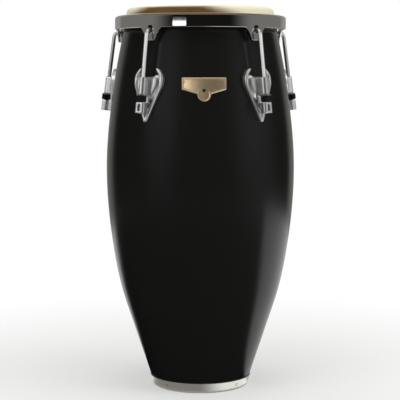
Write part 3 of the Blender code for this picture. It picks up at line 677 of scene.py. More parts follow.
# Badge
#
# A pressed and plated brass plate, bent to the shell, with a raised border, a round medallion below the
# bar and a hole that vents the shell. Two small brass pins hold it. Its face is left plain.
badge_top = 0.6251
badge_half_width = 0.0420
badge_side_length = 0.0224
badge_taper_length = 0.0082
badge_neck_half_width = 0.0141
medallion_radius = 0.0127
medallion_height = badge_top - 0.0317
badge_thickness = 0.0012
badge_border_width = 0.0016
badge_border_half_share = 0.62
badge_border_rise = 0.0006
badge_ring_start_share = 0.35
badge_edge_round = 0.0007
badge_cell = 0.00078
badge_pin_out = 0.0370
badge_pin_height = badge_top - 0.0075
badge_pin_radius = 0.0016
badge_pin_rise = 0.0008
badge_pin_recess = 0.0001
badge_margin = 0.001

badge_champagne = "#EAD6B4"
badge_tarnish = "#C9AE84"
badge_cloud_mm = 14.0

badge_shoulder = badge_top - badge_side_length
badge_half_outline = [
    (badge_half_width, badge_top),
    (badge_half_width, badge_shoulder),
    (badge_neck_half_width, badge_shoulder - badge_taper_length),
]
badge_medallion = arc_points((0.0, medallion_height), medallion_radius, 0, -180, 40)
badge_outline = badge_half_outline + badge_medallion + [(-x, z) for x, z in reversed(badge_half_outline)]


def line_distance(point, line):
    """Distance from a point to the nearest stretch of a line of points."""
    x, y = point
    nearest = math.inf
    for (ax, ay), (bx, by) in zip(line, line[1:]):
        dx, dy = bx - ax, by - ay
        share = min(max(((x - ax) * dx + (y - ay) * dy) / (dx * dx + dy * dy), 0.0), 1.0)
        nearest = min(nearest, math.hypot(x - ax - share * dx, y - ay - share * dy))
    return nearest


def distance_inside(point, outline):
    """Distance from a point to the nearest edge of a closed outline, negative outside it."""
    x, y = point
    loop = outline + outline[:1]
    inside = False
    for (ax, ay), (bx, by) in zip(loop, loop[1:]):
        if (ay > y) != (by > y) and x < ax + (y - ay) * (bx - ax) / (by - ay):
            inside = not inside
    return line_distance(point, loop) * (1 if inside else -1)


def badge_relief(x, z):
    """Height of the badge's face over its sheet: rounded edge, raised border and medallion ring."""
    depth = distance_inside((x, z), badge_outline)
    rise = 0.0
    if depth < badge_edge_round:
        short = 1 - max(depth, 0.0) / badge_edge_round
        rise -= badge_edge_round * (1 - math.sqrt(max(1 - short**2, 0.0)))
    border_half = badge_border_width * badge_border_half_share
    border = 1 - ((depth - badge_border_width) / border_half) ** 2
    ring = math.hypot(x, z - medallion_height) - (medallion_radius - badge_border_width)
    if z < badge_shoulder - badge_taper_length * badge_ring_start_share:
        ring_border = 1 - (ring / border_half) ** 2
    else:
        ring_border = 0.0
    raised = max(border, ring_border, 0.0)
    return rise + badge_border_rise * math.sqrt(raised)


# Champagne-plated brass: a warm pale metal, a little cloudy with handling, softly mirroring the room
champagne_brass, tree, place = empty_tree("champagne_plated_brass")
clouds = add_node(tree, "TexNoise", {"Vector": place, "Scale": 1000 / badge_cloud_mm, "Detail": 4.0})
plating = add_node(
    tree, "Mix",
    {"Factor": clouds, 6: linear(badge_champagne), 7: linear(badge_tarnish)},
    data_type="RGBA",
)
plating_roughness = add_node(tree, "MapRange", {"Value": clouds, "To Min": 0.34, "To Max": 0.50})
brass = add_node(
    tree, "BsdfPrincipled", {"Base Color": plating, "Metallic": 1.0, "Roughness": plating_roughness}
)
add_node(tree, "OutputMaterial", {"Surface": brass})

# A thick sheet a little larger than the badge, with the relief in its face, that the die then cuts out
badge_reach = badge_half_width + badge_margin
badge_low = medallion_height - medallion_radius - badge_margin
badge_length = badge_top + badge_margin - badge_low
badge_columns = round(2 * badge_reach / badge_cell)
badge_rows = round(badge_length / badge_cell)
bm = bmesh.new()
face_lines, back_lines = [], []
outs = [badge_reach * (2 * i / badge_columns - 1) for i in range(badge_columns + 1)]
for j in range(badge_rows + 1):
    z = badge_low + badge_length * j / badge_rows
    back = shell_radius(z) + fit_gap
    fronts = [back + badge_thickness + badge_relief(x, z) for x in outs]
    face_lines.append([bm.verts.new((x, -math.sqrt(r**2 - x**2), z)) for x, r in zip(outs, fronts)])
    back_lines.append([bm.verts.new((x, -math.sqrt(back**2 - x**2), z)) for x in outs])
face_border = sheet(bm, face_lines)
back_border = sheet(bm, back_lines)
sheet(bm, [face_border + face_border[:1], back_border + back_border[:1]])
badge = new_piece("plated_badge", bm, champagne_brass)
stamp = cutter("badge_die", extruded(badge_outline, front_cut_start, front_cut_end))
vent_line = circle_outline(air_hole_radius, 32, (0.0, air_hole_height))
vent = cutter("badge_vent_punch", extruded(vent_line, front_cut_start, front_cut_end))
carved(badge, [("INTERSECT", stamp), ("DIFFERENCE", vent)], smooth_degrees=40)
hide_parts("badge")
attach(badge, "drum")

pin_turn = math.asin(badge_pin_out / shell_radius(badge_pin_height))
for label, turn in (("left", -pin_turn), ("right", pin_turn)):
    name = f"badge_pin_cap_{label}"
    pin = screw_head(name, badge_pin_radius, badge_pin_rise, badge_pin_recess, champagne_brass)
    pin.matrix_world = on_shell(turn, badge_pin_height, fit_gap + badge_thickness)
    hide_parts(f"badge_pin_{label}")
    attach(pin, "drum")


# Flesh hoop
#
# A ring of round steel bar, rolled, welded shut and galvanised against the damp of the hide. The wet hide
# was folded round it, so it hides in the fold, under the rim's lip.
hoop_centre = (0.16054, 0.7300)
hoop_wire_radius = 0.0043

galvanised_grey = "#8F9294"
galvanised_line_mm = 1.2

# Dipped zinc on drawn bar: a dull blue-grey with faint lines along the ring, drawn coarse to show
galvanised_steel = brushed_metal(
    "galvanised_steel_ring", galvanised_grey, 0.38, 0.55, galvanised_line_mm, 0.2
)
hoop_line = circle_outline(hoop_wire_radius, 24, hoop_centre)
flesh_hoop = new_piece("round_flesh_hoop", turned(hoop_line, facets=160), galvanised_steel)
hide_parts("flesh_hoop")
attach(flesh_hoop, "rim_assembly")


# Rawhide head
#
# One soaked hide, laid flat over the bearing edge, drawn down as a collar and folded round the hoop from
# below, then dried hard. The flat stays on the shell while the fold moves with the rim, so the collar
# between them is what gives. The shade on the collar's dark side is painted into the hide's colour as a
# darker ochre.
skin_fold_inner = hoop_wire_radius + 0.0003
skin_fold_outer = 0.0058
skin_leaves_shell = 0.7480
skin_collar_thickness = 0.0011
skin_flat_rings = 26
skin_collar_rings = 14
skin_fold_degrees = (180, 478)

hide_cream = "#F2EACB"
# Painted shade: these two colours paint the shade on the collar's dark side, centred left of the badge
hide_shade_ochre = "#7A560A"
hide_shade_umber = "#4E3506"
hide_shade_middle_degrees = -22.0
hide_shade_half_degrees = (25, 58)
hide_shade_level = 0.750
hide_shade_narrowing = 24.0
hide_shade_wander = 0.30
hide_flat_edge = (0.1430, 0.1462)
hide_mottle_mm = 34.0
hide_pore_mm = 1.1

# Dried rawhide: dull, creamy and finely pored, its pores drawn coarser than real so that they show. Its
# painted shade, ochre to umber, lies on the collar, centred to the left of the badge, wanders with the
# mottle and narrows towards the top, and the flat stays clean
rawhide, tree, place = empty_tree("stretched_rawhide")
xyz = add_node(tree, "SeparateXYZ", {"Vector": place})
toward = add_node(tree, "Math", {0: xyz.outputs["Y"], 1: -1.0}, operation="MULTIPLY")
azimuth = add_node(tree, "Math", {0: xyz.outputs["X"], 1: toward}, operation="ARCTAN2")
level = add_node(tree, "CombineXYZ", {"X": xyz.outputs["X"], "Y": xyz.outputs["Y"]})
reach = add_node(tree, "VectorMath", {"Vector": level}, operation="LENGTH")
mottle = add_node(tree, "TexNoise", {"Vector": place, "Scale": 1000 / hide_mottle_mm, "Detail": 5.0})
uneven = add_node(tree, "Math", {0: mottle, 1: hide_shade_wander, 2: azimuth}, operation="MULTIPLY_ADD")
shade_middle = math.radians(hide_shade_middle_degrees) + hide_shade_wander / 2
off_middle = add_node(tree, "Math", {0: uneven, 1: shade_middle}, operation="SUBTRACT")
aside = add_node(tree, "Math", {0: off_middle}, operation="ABSOLUTE")
narrowed = add_node(
    tree, "Math", {0: xyz.outputs["Z"], 1: hide_shade_narrowing, 2: aside}, operation="MULTIPLY_ADD"
)
at_level = hide_shade_narrowing * hide_shade_level
clear_side = add_node(
    tree, "MapRange",
    {
        "Value": narrowed,
        "From Min": math.radians(hide_shade_half_degrees[0]) + at_level,
        "From Max": math.radians(hide_shade_half_degrees[1]) + at_level,
    },
    interpolation_type="SMOOTHSTEP",
)
clear_flat = add_node(
    tree, "MapRange",
    {"Value": reach, "From Min": hide_flat_edge[1], "From Max": hide_flat_edge[0]},
    interpolation_type="SMOOTHSTEP",
)
clear = add_node(tree, "Math", {0: clear_side, 1: clear_flat}, operation="MAXIMUM")
# Painted shade: the collar's shaded side, ochre to umber, mixed over the cream
painted_shade = add_node(
    tree, "Mix", {"Factor": mottle, 6: linear(hide_shade_umber), 7: linear(hide_shade_ochre)}, data_type="RGBA"
)
hide = add_node(tree, "Mix", {"Factor": clear, 6: painted_shade, 7: linear(hide_cream)}, data_type="RGBA")
pores = add_node(tree, "TexNoise", {"Vector": place, "Scale": 1000 / hide_pore_mm, "Detail": 3.0})
pore_bump = add_node(tree, "Bump", {"Height": pores, "Strength": 0.25, "Distance": 0.0003})
dry = add_node(tree, "MapRange", {"Value": mottle, "To Min": 0.42, "To Max": 0.58})
skin_shader = add_node(
    tree, "BsdfPrincipled", {"Base Color": hide, "Roughness": dry, "IOR": 1.5, "Normal": pore_bump}
)
add_node(tree, "OutputMaterial", {"Surface": skin_shader})

skin_outer_offset = fit_gap + skin_thickness
skin_inner_offset = skin_outer_offset - skin_collar_thickness
crown_outside = bearing_arc(skin_outer_offset, 90, 9)
crown_inside = bearing_arc(skin_inner_offset, 90, 9)
flat_reach = crown_outside[-1][0]
flat_radii = [flat_reach * i / skin_flat_rings for i in range(skin_flat_rings)]
top_line = [(r, drum_height) for r in flat_radii]
under_line = [(r, drum_height - skin_collar_thickness) for r in flat_radii]
wall_outside = wall_line(skin_leaves_shell, crown_outside[0][1], skin_outer_offset, 4)[:-1]
wall_inside = wall_line(skin_leaves_shell, crown_inside[0][1], skin_inner_offset, 4)[:-1]


def collar_line(first, last):
    """Points across the collar from one end to the other, both ends left out."""
    shares = [i / skin_collar_rings for i in range(1, skin_collar_rings)]
    return [tuple(Vector(first).lerp(last, share)) for share in shares]


fold_inside = arc_points(hoop_centre, skin_fold_inner, *skin_fold_degrees, 30)
fold_outside = arc_points(hoop_centre, skin_fold_outer, *skin_fold_degrees, 30)[::-1]
# The section runs out over the flat, down the collar, round the hoop and back along the hide's underside
outline = top_line + crown_outside[::-1] + wall_outside[::-1]
outline += collar_line(wall_outside[0], fold_inside[0]) + fold_inside
outline += fold_outside + collar_line(fold_outside[-1], wall_inside[0])
outline += wall_inside + crown_inside + under_line[::-1]
head = new_piece("rawhide_head", turned(outline, facets=180), rawhide, smooth_degrees=60)
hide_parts("drumhead_skin", "skin_tuck")
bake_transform(head)


# Rim
#
# A deep hoop of steel strip with its top rolled in over the hide's fold, and five ears for the hooks.
# Band and ears are welded, ground to flow into each other and chromed, with a bright mirror finish.
rim_outer_radius = 0.1714
rim_thickness = 0.0030
rim_top = 0.7464
rim_foot = 0.7199
rim_top_round = 0.0065
rim_foot_round = 0.0008
lip_slope = 0.0012
lip_round = 0.0008
lip_past_hoop = 0.0005
lip_clearance = 0.0006
lip_round_steps = 3
lip_under = hoop_centre[1] + skin_fold_outer + lip_clearance
ear_height = 0.0245
ear_flat_half_width = 0.0067
ear_foot_half_width = 0.0112
ear_foot_round = 0.0045
ear_top_half_width = 0.0262
ear_sweep = 1.8
rim_side_rows = 14
ear_column = 0.0006
ear_column_margin = 0.002
rim_column_degrees = 1.5
slot_half_width = 0.0052
slot_round = 0.0030
slot_foot = 0.7091
slot_top = rim_foot + 0.0040
slot_punch_spare = 0.005
first_lug_degrees = 36
lug_spacing_degrees = 72
lug_turns = [first_lug_degrees + lug_spacing_degrees * k for k in range(5)]

chrome_bright = "#C6C7C7"
rim_cloud_mm = 22.0


def clouded_metal(name, hex_colour, low_roughness, high_roughness, cloud_mm):
    """A smooth metal, with a faint cloudiness from handling in its shine."""
    material, tree, place = empty_tree(name)
    clouds = add_node(tree, "TexNoise", {"Vector": place, "Scale": 1000 / cloud_mm, "Detail": 3.0})
    roughness = add_node(
        tree, "MapRange", {"Value": clouds, "To Min": low_roughness, "To Max": high_roughness}
    )
    metal = add_node(
        tree, "BsdfPrincipled",
        {"Base Color": linear(hex_colour), "Metallic": 1.0, "Roughness": roughness},
    )
    add_node(tree, "OutputMaterial", {"Surface": metal})
    return material


def rim_edge_height(along):
    """Height of the rim's lower edge at a distance along the band from the middle of an ear."""
    out = abs(along)
    foot = rim_foot - ear_height
    if out <= ear_flat_half_width:
        return foot
    if out <= ear_foot_half_width:
        share = (out - ear_flat_half_width) / ear_foot_round
        return foot + ear_foot_round * (1 - math.sqrt(max(1 - share**2, 0.0)))
    if out <= ear_top_half_width:
        share = (ear_top_half_width - out) / (ear_top_half_width - ear_foot_half_width)
        return rim_foot - (ear_height - ear_foot_round) * share**ear_sweep
    return rim_foot


def rim_section(foot):
    """Closed section of the band, whose lower edge is at this height."""
    inner = rim_outer_radius - rim_thickness
    roll = (rim_outer_radius - rim_top_round, rim_top - rim_top_round)
    level = foot + rim_foot_round
    side = [level + (roll[1] - level) * i / rim_side_rows for i in range(rim_side_rows)]
    lip_edge = hoop_centre[0] - hoop_wire_radius
    lip_corners = [
        (roll[0], rim_top - lip_slope / 3),
        (lip_edge, rim_top - lip_slope),
        (lip_edge, lip_under),
        (hoop_centre[0] + lip_past_hoop, lip_under),
    ]
    # The roll's arc ends where the lip's first corner would be, so that corner is left out
    lip = rounded_corners(lip_corners, lip_round, lip_round_steps)[lip_round_steps + 1 :]
    foot_outside = arc_points((rim_outer_radius - rim_foot_round, level), rim_foot_round, -90, 0, 3)
    foot_inside = arc_points((inner + rim_foot_round, level), rim_foot_round, 180, 270, 3)
    outside = [(rim_outer_radius, z) for z in side] + arc_points(roll, rim_top_round, 0, 90, 8)
    inside = arc_points(roll, rim_top_round - rim_thickness, 90, 0, 5) + [(inner, z) for z in side[:0:-1]]
    return foot_outside[:-1] + outside + lip + inside + foot_inside


def rim_angles():
    """Turns round the rim, close together near the ears."""
    angles = []
    near = math.degrees((ear_top_half_width + ear_column_margin) / rim_outer_radius)
    fine = round(near / math.degrees(ear_column / rim_outer_radius))
    between = lug_spacing_degrees - 2 * near
    wide = round(between / rim_column_degrees)
    for turn in lug_turns:
        angles += [turn + near * i / fine for i in range(-fine, fine + 1)]
        angles += [turn + near + between * i / wide for i in range(1, wide)]
    return angles


# Bright chrome plate: a clear, slightly cool mirror
rim_chrome = clouded_metal("bright_rim_chrome", chrome_bright, 0.03, 0.05, rim_cloud_mm)
sections = []
for turn in rim_angles():
    nearest = min(lug_turns, key=lambda lug: abs((turn - lug + 180) % 360 - 180))
    along = math.radians((turn - nearest + 180) % 360 - 180) * rim_outer_radius
    angle = math.radians(turn - 90)
    section = rim_section(rim_edge_height(along))
    sections.append([(r * math.cos(angle), r * math.sin(angle), z) for r, z in section])
rim = new_piece("rolled_rim", lofted(sections, closed=True), rim_chrome, smooth_degrees=50)
slot_corners = rectangle(-slot_half_width, slot_half_width, slot_foot, slot_top)
slot_line = rounded_corners(slot_corners, slot_round, 6)
slots = []
punch_start = -rim_outer_radius - slot_punch_spare
punch_end = -rim_outer_radius + rim_thickness + slot_punch_spare
for turn in lug_turns:
    punch = extruded(slot_line, punch_start, punch_end)
    slots.append(cutter(f"slot_punch_{turn}", punch, Matrix.Rotation(math.radians(turn), 4, "Z")))
carved(rim, [("DIFFERENCE", slot) for slot in slots], smooth_degrees=50)
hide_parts("rim")
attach(rim, "rim_assembly")


# Side plates
#
# Five castings, ground and chromed: a heart-shaped shield with a crest round its border, two domed lobes,
# a receiver that the rod runs through and a fork below the captive nut. Two bolts from inside the drum
# hold each one. Each is drawn in its lug's own frame: z up the rod, x along the shell, -y outwards.
lug_height = 0.585
lug_count = len(lug_turns)
rod_outside_shell = 0.0225
rod_outside_rim = 0.00964
plate_tip = -0.0416
plate_tip_half_width = 0.0030
plate_flank = 0.0289
plate_flank_half_width = 0.0318
plate_widest = 0.0370
plate_half_width = 0.0324
horn_tip = 0.0602
horn_outer_half_width = 0.0208
horn_inner_half_width = 0.0166
shoulder_roundness = 2.5
notch_floor = 0.0440
notch_half_width = 0.0205
notch_round = 0.0050
notch_past = 0.004
shield_thickness = 0.0042
shield_spare = 0.012
shield_edge_drop = 0.0012
crest_inside_border = 0.0030
crest_half_width = 0.0032
crest_rise = 0.0036
crest_flatness = 4
lobe_out_share = 0.52
lobe_width_share = 0.36
lobe_centre_up = 0.0255
lobe_half_length = 0.0240
lobe_rise = 0.0085
lobe_flatness = 3
border_steps = 40
rod_radius = 0.00397
bore_radius = 0.0046
receiver_wall = 0.0020
receiver_foot = 0.0073
receiver_length = 0.0341
receiver_foot_half_width = 0.0078
receiver_foot_depth = 0.0105
guide_top = -0.0067
guide_length = 0.0205
guide_half_width = 0.0098
guide_front = 0.0068
guide_back = 0.0058
guide_web_half_width = 0.0050
guide_corner = 0.0045
guide_window_half_width = 0.0030
guide_window = (-0.0240, -0.0105)
guide_window_corner = 0.0029
plate_cut_front = -0.02
plate_cut_rear = 0.04
bore_past = 0.002
web_overlap = 0.001
seat_reach = 0.10
plate_grid = 0.0009
plate_voxel = 0.0008
plate_cloud_mm = 9.0

rod_at_nut = shell_radius(lug_height) + rod_outside_shell
rod_lean = math.atan((rod_at_nut - rim_outer_radius - rod_outside_rim) / (rim_foot - lug_height))
lug_frame = Matrix.Translation((0, -rod_at_nut, lug_height)) @ Matrix.Rotation(-rod_lean, 4, "X")
shell_depth = rod_outside_shell * math.cos(rod_lean)


def shield_half_width(up):
    """Half of the shield's width at this height: straight flanks to a point, and round shoulders."""
    if up <= plate_flank:
        share = (up - plate_tip) / (plate_flank - plate_tip)
        return plate_tip_half_width + (plate_flank_half_width - plate_tip_half_width) * share
    if up <= plate_widest:
        share = (up - plate_flank) / (plate_widest - plate_flank)
        return plate_flank_half_width + (plate_half_width - plate_flank_half_width) * share
    share = (up - plate_widest) / (horn_tip - plate_widest)
    return plate_half_width - (plate_half_width - horn_outer_half_width) * share**shoulder_roundness


plate_length = horn_tip - plate_tip
border_heights = [plate_tip + plate_length * i / border_steps for i in range(border_steps + 1)]
shield_border = [(shield_half_width(up), up) for up in border_heights]


def shield_face(out, up):
    """How far the shield's face stands from the rod's axis, as a y value."""
    out = abs(out)
    face = shell_depth - shield_thickness + shield_edge_drop * (out / plate_half_width) ** 2
    to_border = min(up - plate_tip, line_distance((out, up), shield_border))
    crest = 1 - ((to_border - crest_inside_border) / crest_half_width) ** crest_flatness
    half = shield_half_width(min(up, plate_flank))
    across = (out - half * lobe_out_share) / (half * lobe_width_share)
    along = (up - lobe_centre_up) / lobe_half_length
    lobe = 1 - across**2 - abs(along) ** lobe_flatness
    return face - max(crest_rise * math.sqrt(max(crest, 0.0)), lobe_rise * math.sqrt(max(lobe, 0.0)))


def shield_blank():
    """A bmesh of the shield, solid back to the drum's inside, before it is cut to the shell."""
    rows = round(plate_length / plate_grid)
    columns = round(2 * plate_half_width / plate_grid)
    bm = bmesh.new()
    lines = []
    for j in range(rows + 1):
        up = plate_tip + plate_length * j / rows
        outs = [shield_half_width(up) * (2 * i / columns - 1) for i in range(columns + 1)]
        lines.append([bm.verts.new((out, shield_face(out, up), up)) for out in outs])
    border = sheet(bm, lines)
    rear = [bm.verts.new((vert.co.x, shell_depth + shield_spare, vert.co.z)) for vert in border]
    sheet(bm, [border + border[:1], rear + rear[:1]])
    bm.faces.new(rear)
    return bm


def upright(outline, low, high):
    """A bmesh of an outline of x and y, extruded up the rod."""
    return lofted([[(x, y, z) for x, y in outline] for z in (low, high)])


def at_each_lug(first, label, node, body):
    """Sets a piece drawn in the lug's frame at all five lugs, with one mesh shared between them."""
    pieces = [first]
    for k in range(2, lug_count + 1):
        pieces.append(bpy.data.objects.new(f"{label}_{k}", first.data))
        bpy.context.scene.collection.objects.link(pieces[-1])
    for k, (piece, turn) in enumerate(zip(pieces, lug_turns), start=1):
        piece.matrix_world = Matrix.Rotation(math.radians(turn), 4, "Z") @ lug_frame
        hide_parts(f"{node}_{k}")
        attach(piece, body.format(k))
    return pieces


# Satin chrome, over a casting that was ground by hand: wide, even highlights along each edge
plate_chrome = clouded_metal("satin_casting_chrome", chrome_bright, 0.30, 0.42, plate_cloud_mm)
shield = new_piece("chrome_side_plate_1", shield_blank(), plate_chrome)
notch_half = [
    (notch_half_width - notch_round, notch_floor),
    (notch_half_width, notch_floor + notch_round),
    ((notch_half_width + horn_inner_half_width) / 2, (notch_floor + horn_tip + notch_round) / 2),
    (horn_inner_half_width, horn_tip),
    (horn_inner_half_width, horn_tip + notch_past),
]
notch_line = notch_half + [(-x, z) for x, z in reversed(notch_half)]
notch = cutter("horn_notch", extruded(notch_line, plate_cut_front, plate_cut_rear))
receiver_radius = bore_radius + receiver_wall
receiver_half = [
    (receiver_foot_half_width, shell_depth),
    (receiver_radius, shell_depth - receiver_foot_depth),
]
receiver_line = [(-x, y) for x, y in receiver_half] + arc_points((0, 0), receiver_radius, 180, 360, 20)
receiver_line += receiver_half[::-1]
receiver = cutter("receiver", upright(receiver_line, receiver_foot, receiver_foot + receiver_length))
guide_foot = guide_top - guide_length
guide_corners = rectangle(-guide_half_width, guide_half_width, -guide_front, guide_back)
guide = cutter("guide", upright(rounded_corners(guide_corners, guide_corner, 4), guide_foot, guide_top))
web_front = guide_back - web_overlap
web_line = rectangle(-guide_web_half_width, guide_web_half_width, web_front, shell_depth)
web = cutter("guide_web", upright(web_line, guide_foot, guide_top))
bore_line = circle_outline(bore_radius, 24)
tail = cutter("rod_tail_bore", upright(bore_line, guide_foot - bore_past, guide_top + bore_past))
window_corners = rectangle(-guide_window_half_width, guide_window_half_width, *guide_window)
window_line = rounded_corners(window_corners, guide_window_corner, 6)
window = cutter("guide_window", extruded(window_line, plate_cut_front, 0.0))

# The casting's forms are joined and cut, and then flow into each other, as grinding leaves them. The bore
# and the seat on the shell are cut after that, so that they stay true.
carved(
    shield,
    [
        ("DIFFERENCE", notch),
        ("UNION", receiver),
        ("UNION", guide),
        ("UNION", web),
        ("DIFFERENCE", tail),
        ("DIFFERENCE", window),
    ],
)
remesh = shield.modifiers.new("casting_skin", "REMESH")
remesh.mode = "VOXEL"
remesh.voxel_size = plate_voxel
smooth = shield.modifiers.new("ground_smooth", "SMOOTH")
smooth.factor = 0.5
smooth.iterations = 4
seat_foot = lug_height - seat_reach
seat_top = lug_height + seat_reach
seat_line = [(0.0, seat_foot)] + wall_line(seat_foot, seat_top, fit_gap, 40) + [(0.0, seat_top)]
seat = cutter("shell_seat", turned(seat_line, shell_facets), lug_frame.inverted())
bore = cutter("rod_bore", upright(bore_line, receiver_foot - bore_past, horn_tip))
carved(shield, [("DIFFERENCE", bore), ("DIFFERENCE", seat)], smooth_degrees=50)
plates = at_each_lug(shield, "chrome_side_plate", "side_plate", "drum")


# Bolts and straps
#
# Inside the drum, a bent steel strap and two hexagon bolts clamp each side plate. They are zinc plated
# and left plain, so their solids stay as the CAD has them and only get the metal's look.
zinc_grey = "#9DA1A3"
zinc_line_mm = 0.9

# Bright zinc over rolled steel: a pale grey between satin and dull, with the mill's faint lines, drawn
# coarse to show
zinc_steel = brushed_metal("zinc_plated_steel", zinc_grey, 0.34, 0.50, zinc_line_mm, 0.15)
for k in range(1, lug_count + 1):
    for name in (f"backing_strap_{k}", f"plate_bolt_{k}_upper", f"plate_bolt_{k}_lower"):
        bpy.data.objects[name].data.materials.clear()
        bpy.data.objects[name].data.materials.append(zinc_steel)


# Nuts and washers
#
# A black-oxide hexagon nut sits captive between receiver and fork, on a flat zinc washer, and turns on
# the rod. Its corners are chamfered at 30 degrees at both ends, and its bore is countersunk.
nut_across_flats = 0.0175
nut_height = 0.0110
nut_bore_radius = 0.0046
nut_countersink = 0.0007
nut_face_inset = 0.0003
nut_chamfer_degrees = 30
nut_facets = 72
nut_levels = (0.0, 0.0003, 0.0006, 0.0009, 0.0012, 0.0016, 0.0030)
washer_radius = 0.0100
washer_hole = bore_radius + 0.0002
washer_thickness = 0.0012
washer_edge_round = 0.0003

oxide_black = "#26262A"
oxide_cloud_mm = 5.0

# Black oxide over machined steel: a dark, slightly oily metal with soft highlights along its edges
black_oxide = clouded_metal("black_oxide_steel", oxide_black, 0.32, 0.46, oxide_cloud_mm)


def hexagon_nut():
    """A bmesh of a chamfered hexagon nut with a countersunk bore, its middle at the origin."""
    half = nut_height / 2
    face_radius = nut_across_flats / 2 - nut_face_inset
    slope = math.tan(math.radians(nut_chamfer_degrees))
    levels = [half - level for level in nut_levels]
    angles = [math.tau * i / nut_facets for i in range(nut_facets)]
    rings = []
    for z in [-level for level in levels] + levels[::-1]:
        cone = face_radius + (half - abs(z)) / slope
        flats = [nut_across_flats / 2 / math.cos(a % (math.pi / 3) - math.pi / 6) for a in angles]
        rings.append([(min(flat, cone), a, z) for flat, a in zip(flats, angles)])
    bore = [(nut_bore_radius + nut_countersink, half), (nut_bore_radius, half - nut_countersink)]
    for radius, z in bore + [(radius, -z) for radius, z in reversed(bore)]:
        rings.append([(radius, a, z) for a in angles])
    rings = [[(r * math.cos(a), r * math.sin(a), z) for r, a, z in ring] for ring in rings]
    return lofted(rings, closed=True)


nut = new_piece("black_hexagon_nut_1", hexagon_nut(), black_oxide, smooth_degrees=25)
at_each_lug(nut, "black_hexagon_nut", "tuning_nut", "nut_{}")

washer_foot = nut_height / 2 + fit_gap
washer_corners = rectangle(washer_hole, washer_radius, washer_foot, washer_foot + washer_thickness)
washer_line = rounded_corners(washer_corners, washer_edge_round, 3)
washer = new_piece("flat_washer_1", turned(washer_line, facets=48), zinc_steel)
at_each_lug(washer, "flat_washer", "nut_washer", "drum")


# Tuning hooks
#
# A 5/16 in steel bar, bent over at the top into the ear's slot, with a rolled thread below, chromed.
# The nut runs on the thread, so that turning it draws the hook and the rim down.
rod_tail = 0.0225
hook_bend_radius = 0.0104
hook_tip = 0.0080
inch = 0.0254
threads_per_inch = 18
thread_pitch = inch / threads_per_inch
thread_top = 0.0090
thread_depth = 0.00042
rod_facets = 24
rows_per_turn = 8
rod_plain_rows = 12
hook_bend_rows = 24
hook_tip_rows = 3
hook_dome_degrees = range(12, 90, 12)
rod_cloud_mm = 10.0
rod_end_chamfer = 0.0008
thread_runout = 0.0008
hook_tip_dome = 0.6 * rod_radius

hook_reach = hook_bend_radius + rod_radius
bend_middle = Vector((0, hook_bend_radius, 0))
bend_middle.z = (rim_foot - fit_gap - hook_reach - (lug_frame @ bend_middle).z) / math.cos(rod_lean)


def hook_stations():
    """Stations along the hook: centre, turn of its bend, radius, and whether it is threaded."""
    stations = [(Vector((0, 0, -rod_tail)), 0.0, rod_radius - thread_depth - rod_end_chamfer, False)]
    up = -rod_tail + rod_end_chamfer
    while up < thread_top:
        stations.append((Vector((0, 0, up)), 0.0, rod_radius, True))
        up += thread_pitch / rows_per_turn
    plain_foot = thread_top + thread_runout
    for i in range(rod_plain_rows):
        up = plain_foot + (bend_middle.z - plain_foot) * i / rod_plain_rows
        stations.append((Vector((0, 0, up)), 0.0, rod_radius, False))
    for i in range(hook_bend_rows + 1):
        turn = math.pi * i / hook_bend_rows
        across = Vector((0, -math.cos(turn), math.sin(turn)))
        stations.append((bend_middle + hook_bend_radius * across, turn, rod_radius, False))
    last = bend_middle + Vector((0, hook_bend_radius, 0))
    straight = hook_tip - hook_tip_dome
    for i in range(1, hook_tip_rows + 1):
        drop = Vector((0, 0, straight * i / hook_tip_rows))
        stations.append((last - drop, math.pi, rod_radius, False))
    for degrees in hook_dome_degrees:
        turn = math.radians(degrees)
        drop = Vector((0, 0, straight + hook_tip_dome * math.sin(turn)))
        stations.append((last - drop, math.pi, rod_radius * math.cos(turn), False))
    return stations


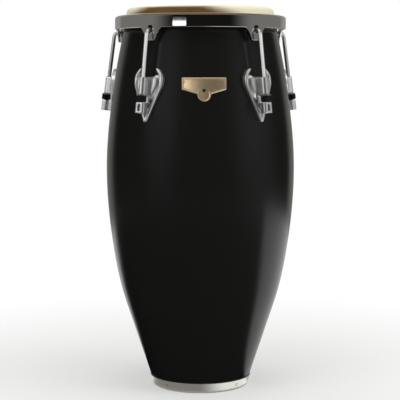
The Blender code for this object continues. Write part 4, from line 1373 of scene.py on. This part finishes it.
def hook_mesh():
    """A bmesh of the hook, with its thread cut as a helix."""
    rings = []
    for centre, turn, radius, threaded in hook_stations():
        across = Vector((0, -math.cos(turn), math.sin(turn)))
        ring = []
        for i in range(rod_facets):
            angle = math.tau * i / rod_facets
            reach = radius
            if threaded:
                phase = (centre.z / thread_pitch - i / rod_facets) % 1.0
                reach -= thread_depth * (1 - abs(2 * phase - 1))
            sideways = Vector((reach * math.sin(angle), 0, 0))
            ring.append(centre + across * (reach * math.cos(angle)) + sideways)
        rings.append(ring)
    return lofted(rings)


# Satin chrome on a drawn bar: a soft streak of light along it
rod_chrome = clouded_metal("satin_rod_chrome", chrome_bright, 0.26, 0.34, rod_cloud_mm)
hook = new_piece("chrome_tuning_hook_1", hook_mesh(), rod_chrome, smooth_degrees=60)
hooks = at_each_lug(hook, "chrome_tuning_hook", "tuning_hook", "hook_{}")


# Lights for the metal alone
#
# The photograph's lacquer mirrors neither the panels nor the paper in front, its rim shows none of the
# lamps, and its rods and side plates are lit more than the rest. Light linking keeps each light or card
# to the pieces that show it.
strip_side = 1.30
strip_forward = 0.85
middle_strip_forward = 1.45
strip_height = 1.15
strip_aim_height = 0.68
strip_size = (1.5, 0.7)
strip_watts = 4.9
plate_lamp_place = (1.20, -0.80, 1.05)
plate_lamp_aim_height = 0.58
plate_lamp_size = (1.6, 0.9)
plate_lamp_watts = {"left": 4.8, "right": 2.3}


def only_on(light, pieces, state="INCLUDE"):
    """Keeps a light or card to these pieces, or off them."""
    group = bpy.data.collections.new(f"{light.name}_pieces")
    for piece in pieces:
        group.objects.link(piece)
    for member in group.collection_objects:
        member.light_linking.link_state = state
    light.light_linking.receiver_collection = group


only_on(panels, [shell], "EXCLUDE")
only_on(front_paper, [shell], "EXCLUDE")
only_on(rim_card, [rim])
only_on(badge_card, [badge])
for label, side, forward in (
    ("left", -strip_side, strip_forward),
    ("middle", 0.0, middle_strip_forward),
    ("right", strip_side, strip_forward),
):
    place = (side, -forward, strip_height)
    strip = soft_lamp(f"{label}_strip", place, strip_aim_height, strip_size, strip_watts)
    only_on(strip, hooks + plates[1:4])
for label, side in (("left", -1), ("right", 1)):
    place = (side * plate_lamp_place[0], *plate_lamp_place[1:])
    watts = plate_lamp_watts[label]
    lamp = soft_lamp(f"{label}_plate_lamp", place, plate_lamp_aim_height, plate_lamp_size, watts)
    only_on(lamp, plates)
for lamp in softboxes:
    only_on(lamp, [rim], "EXCLUDE")
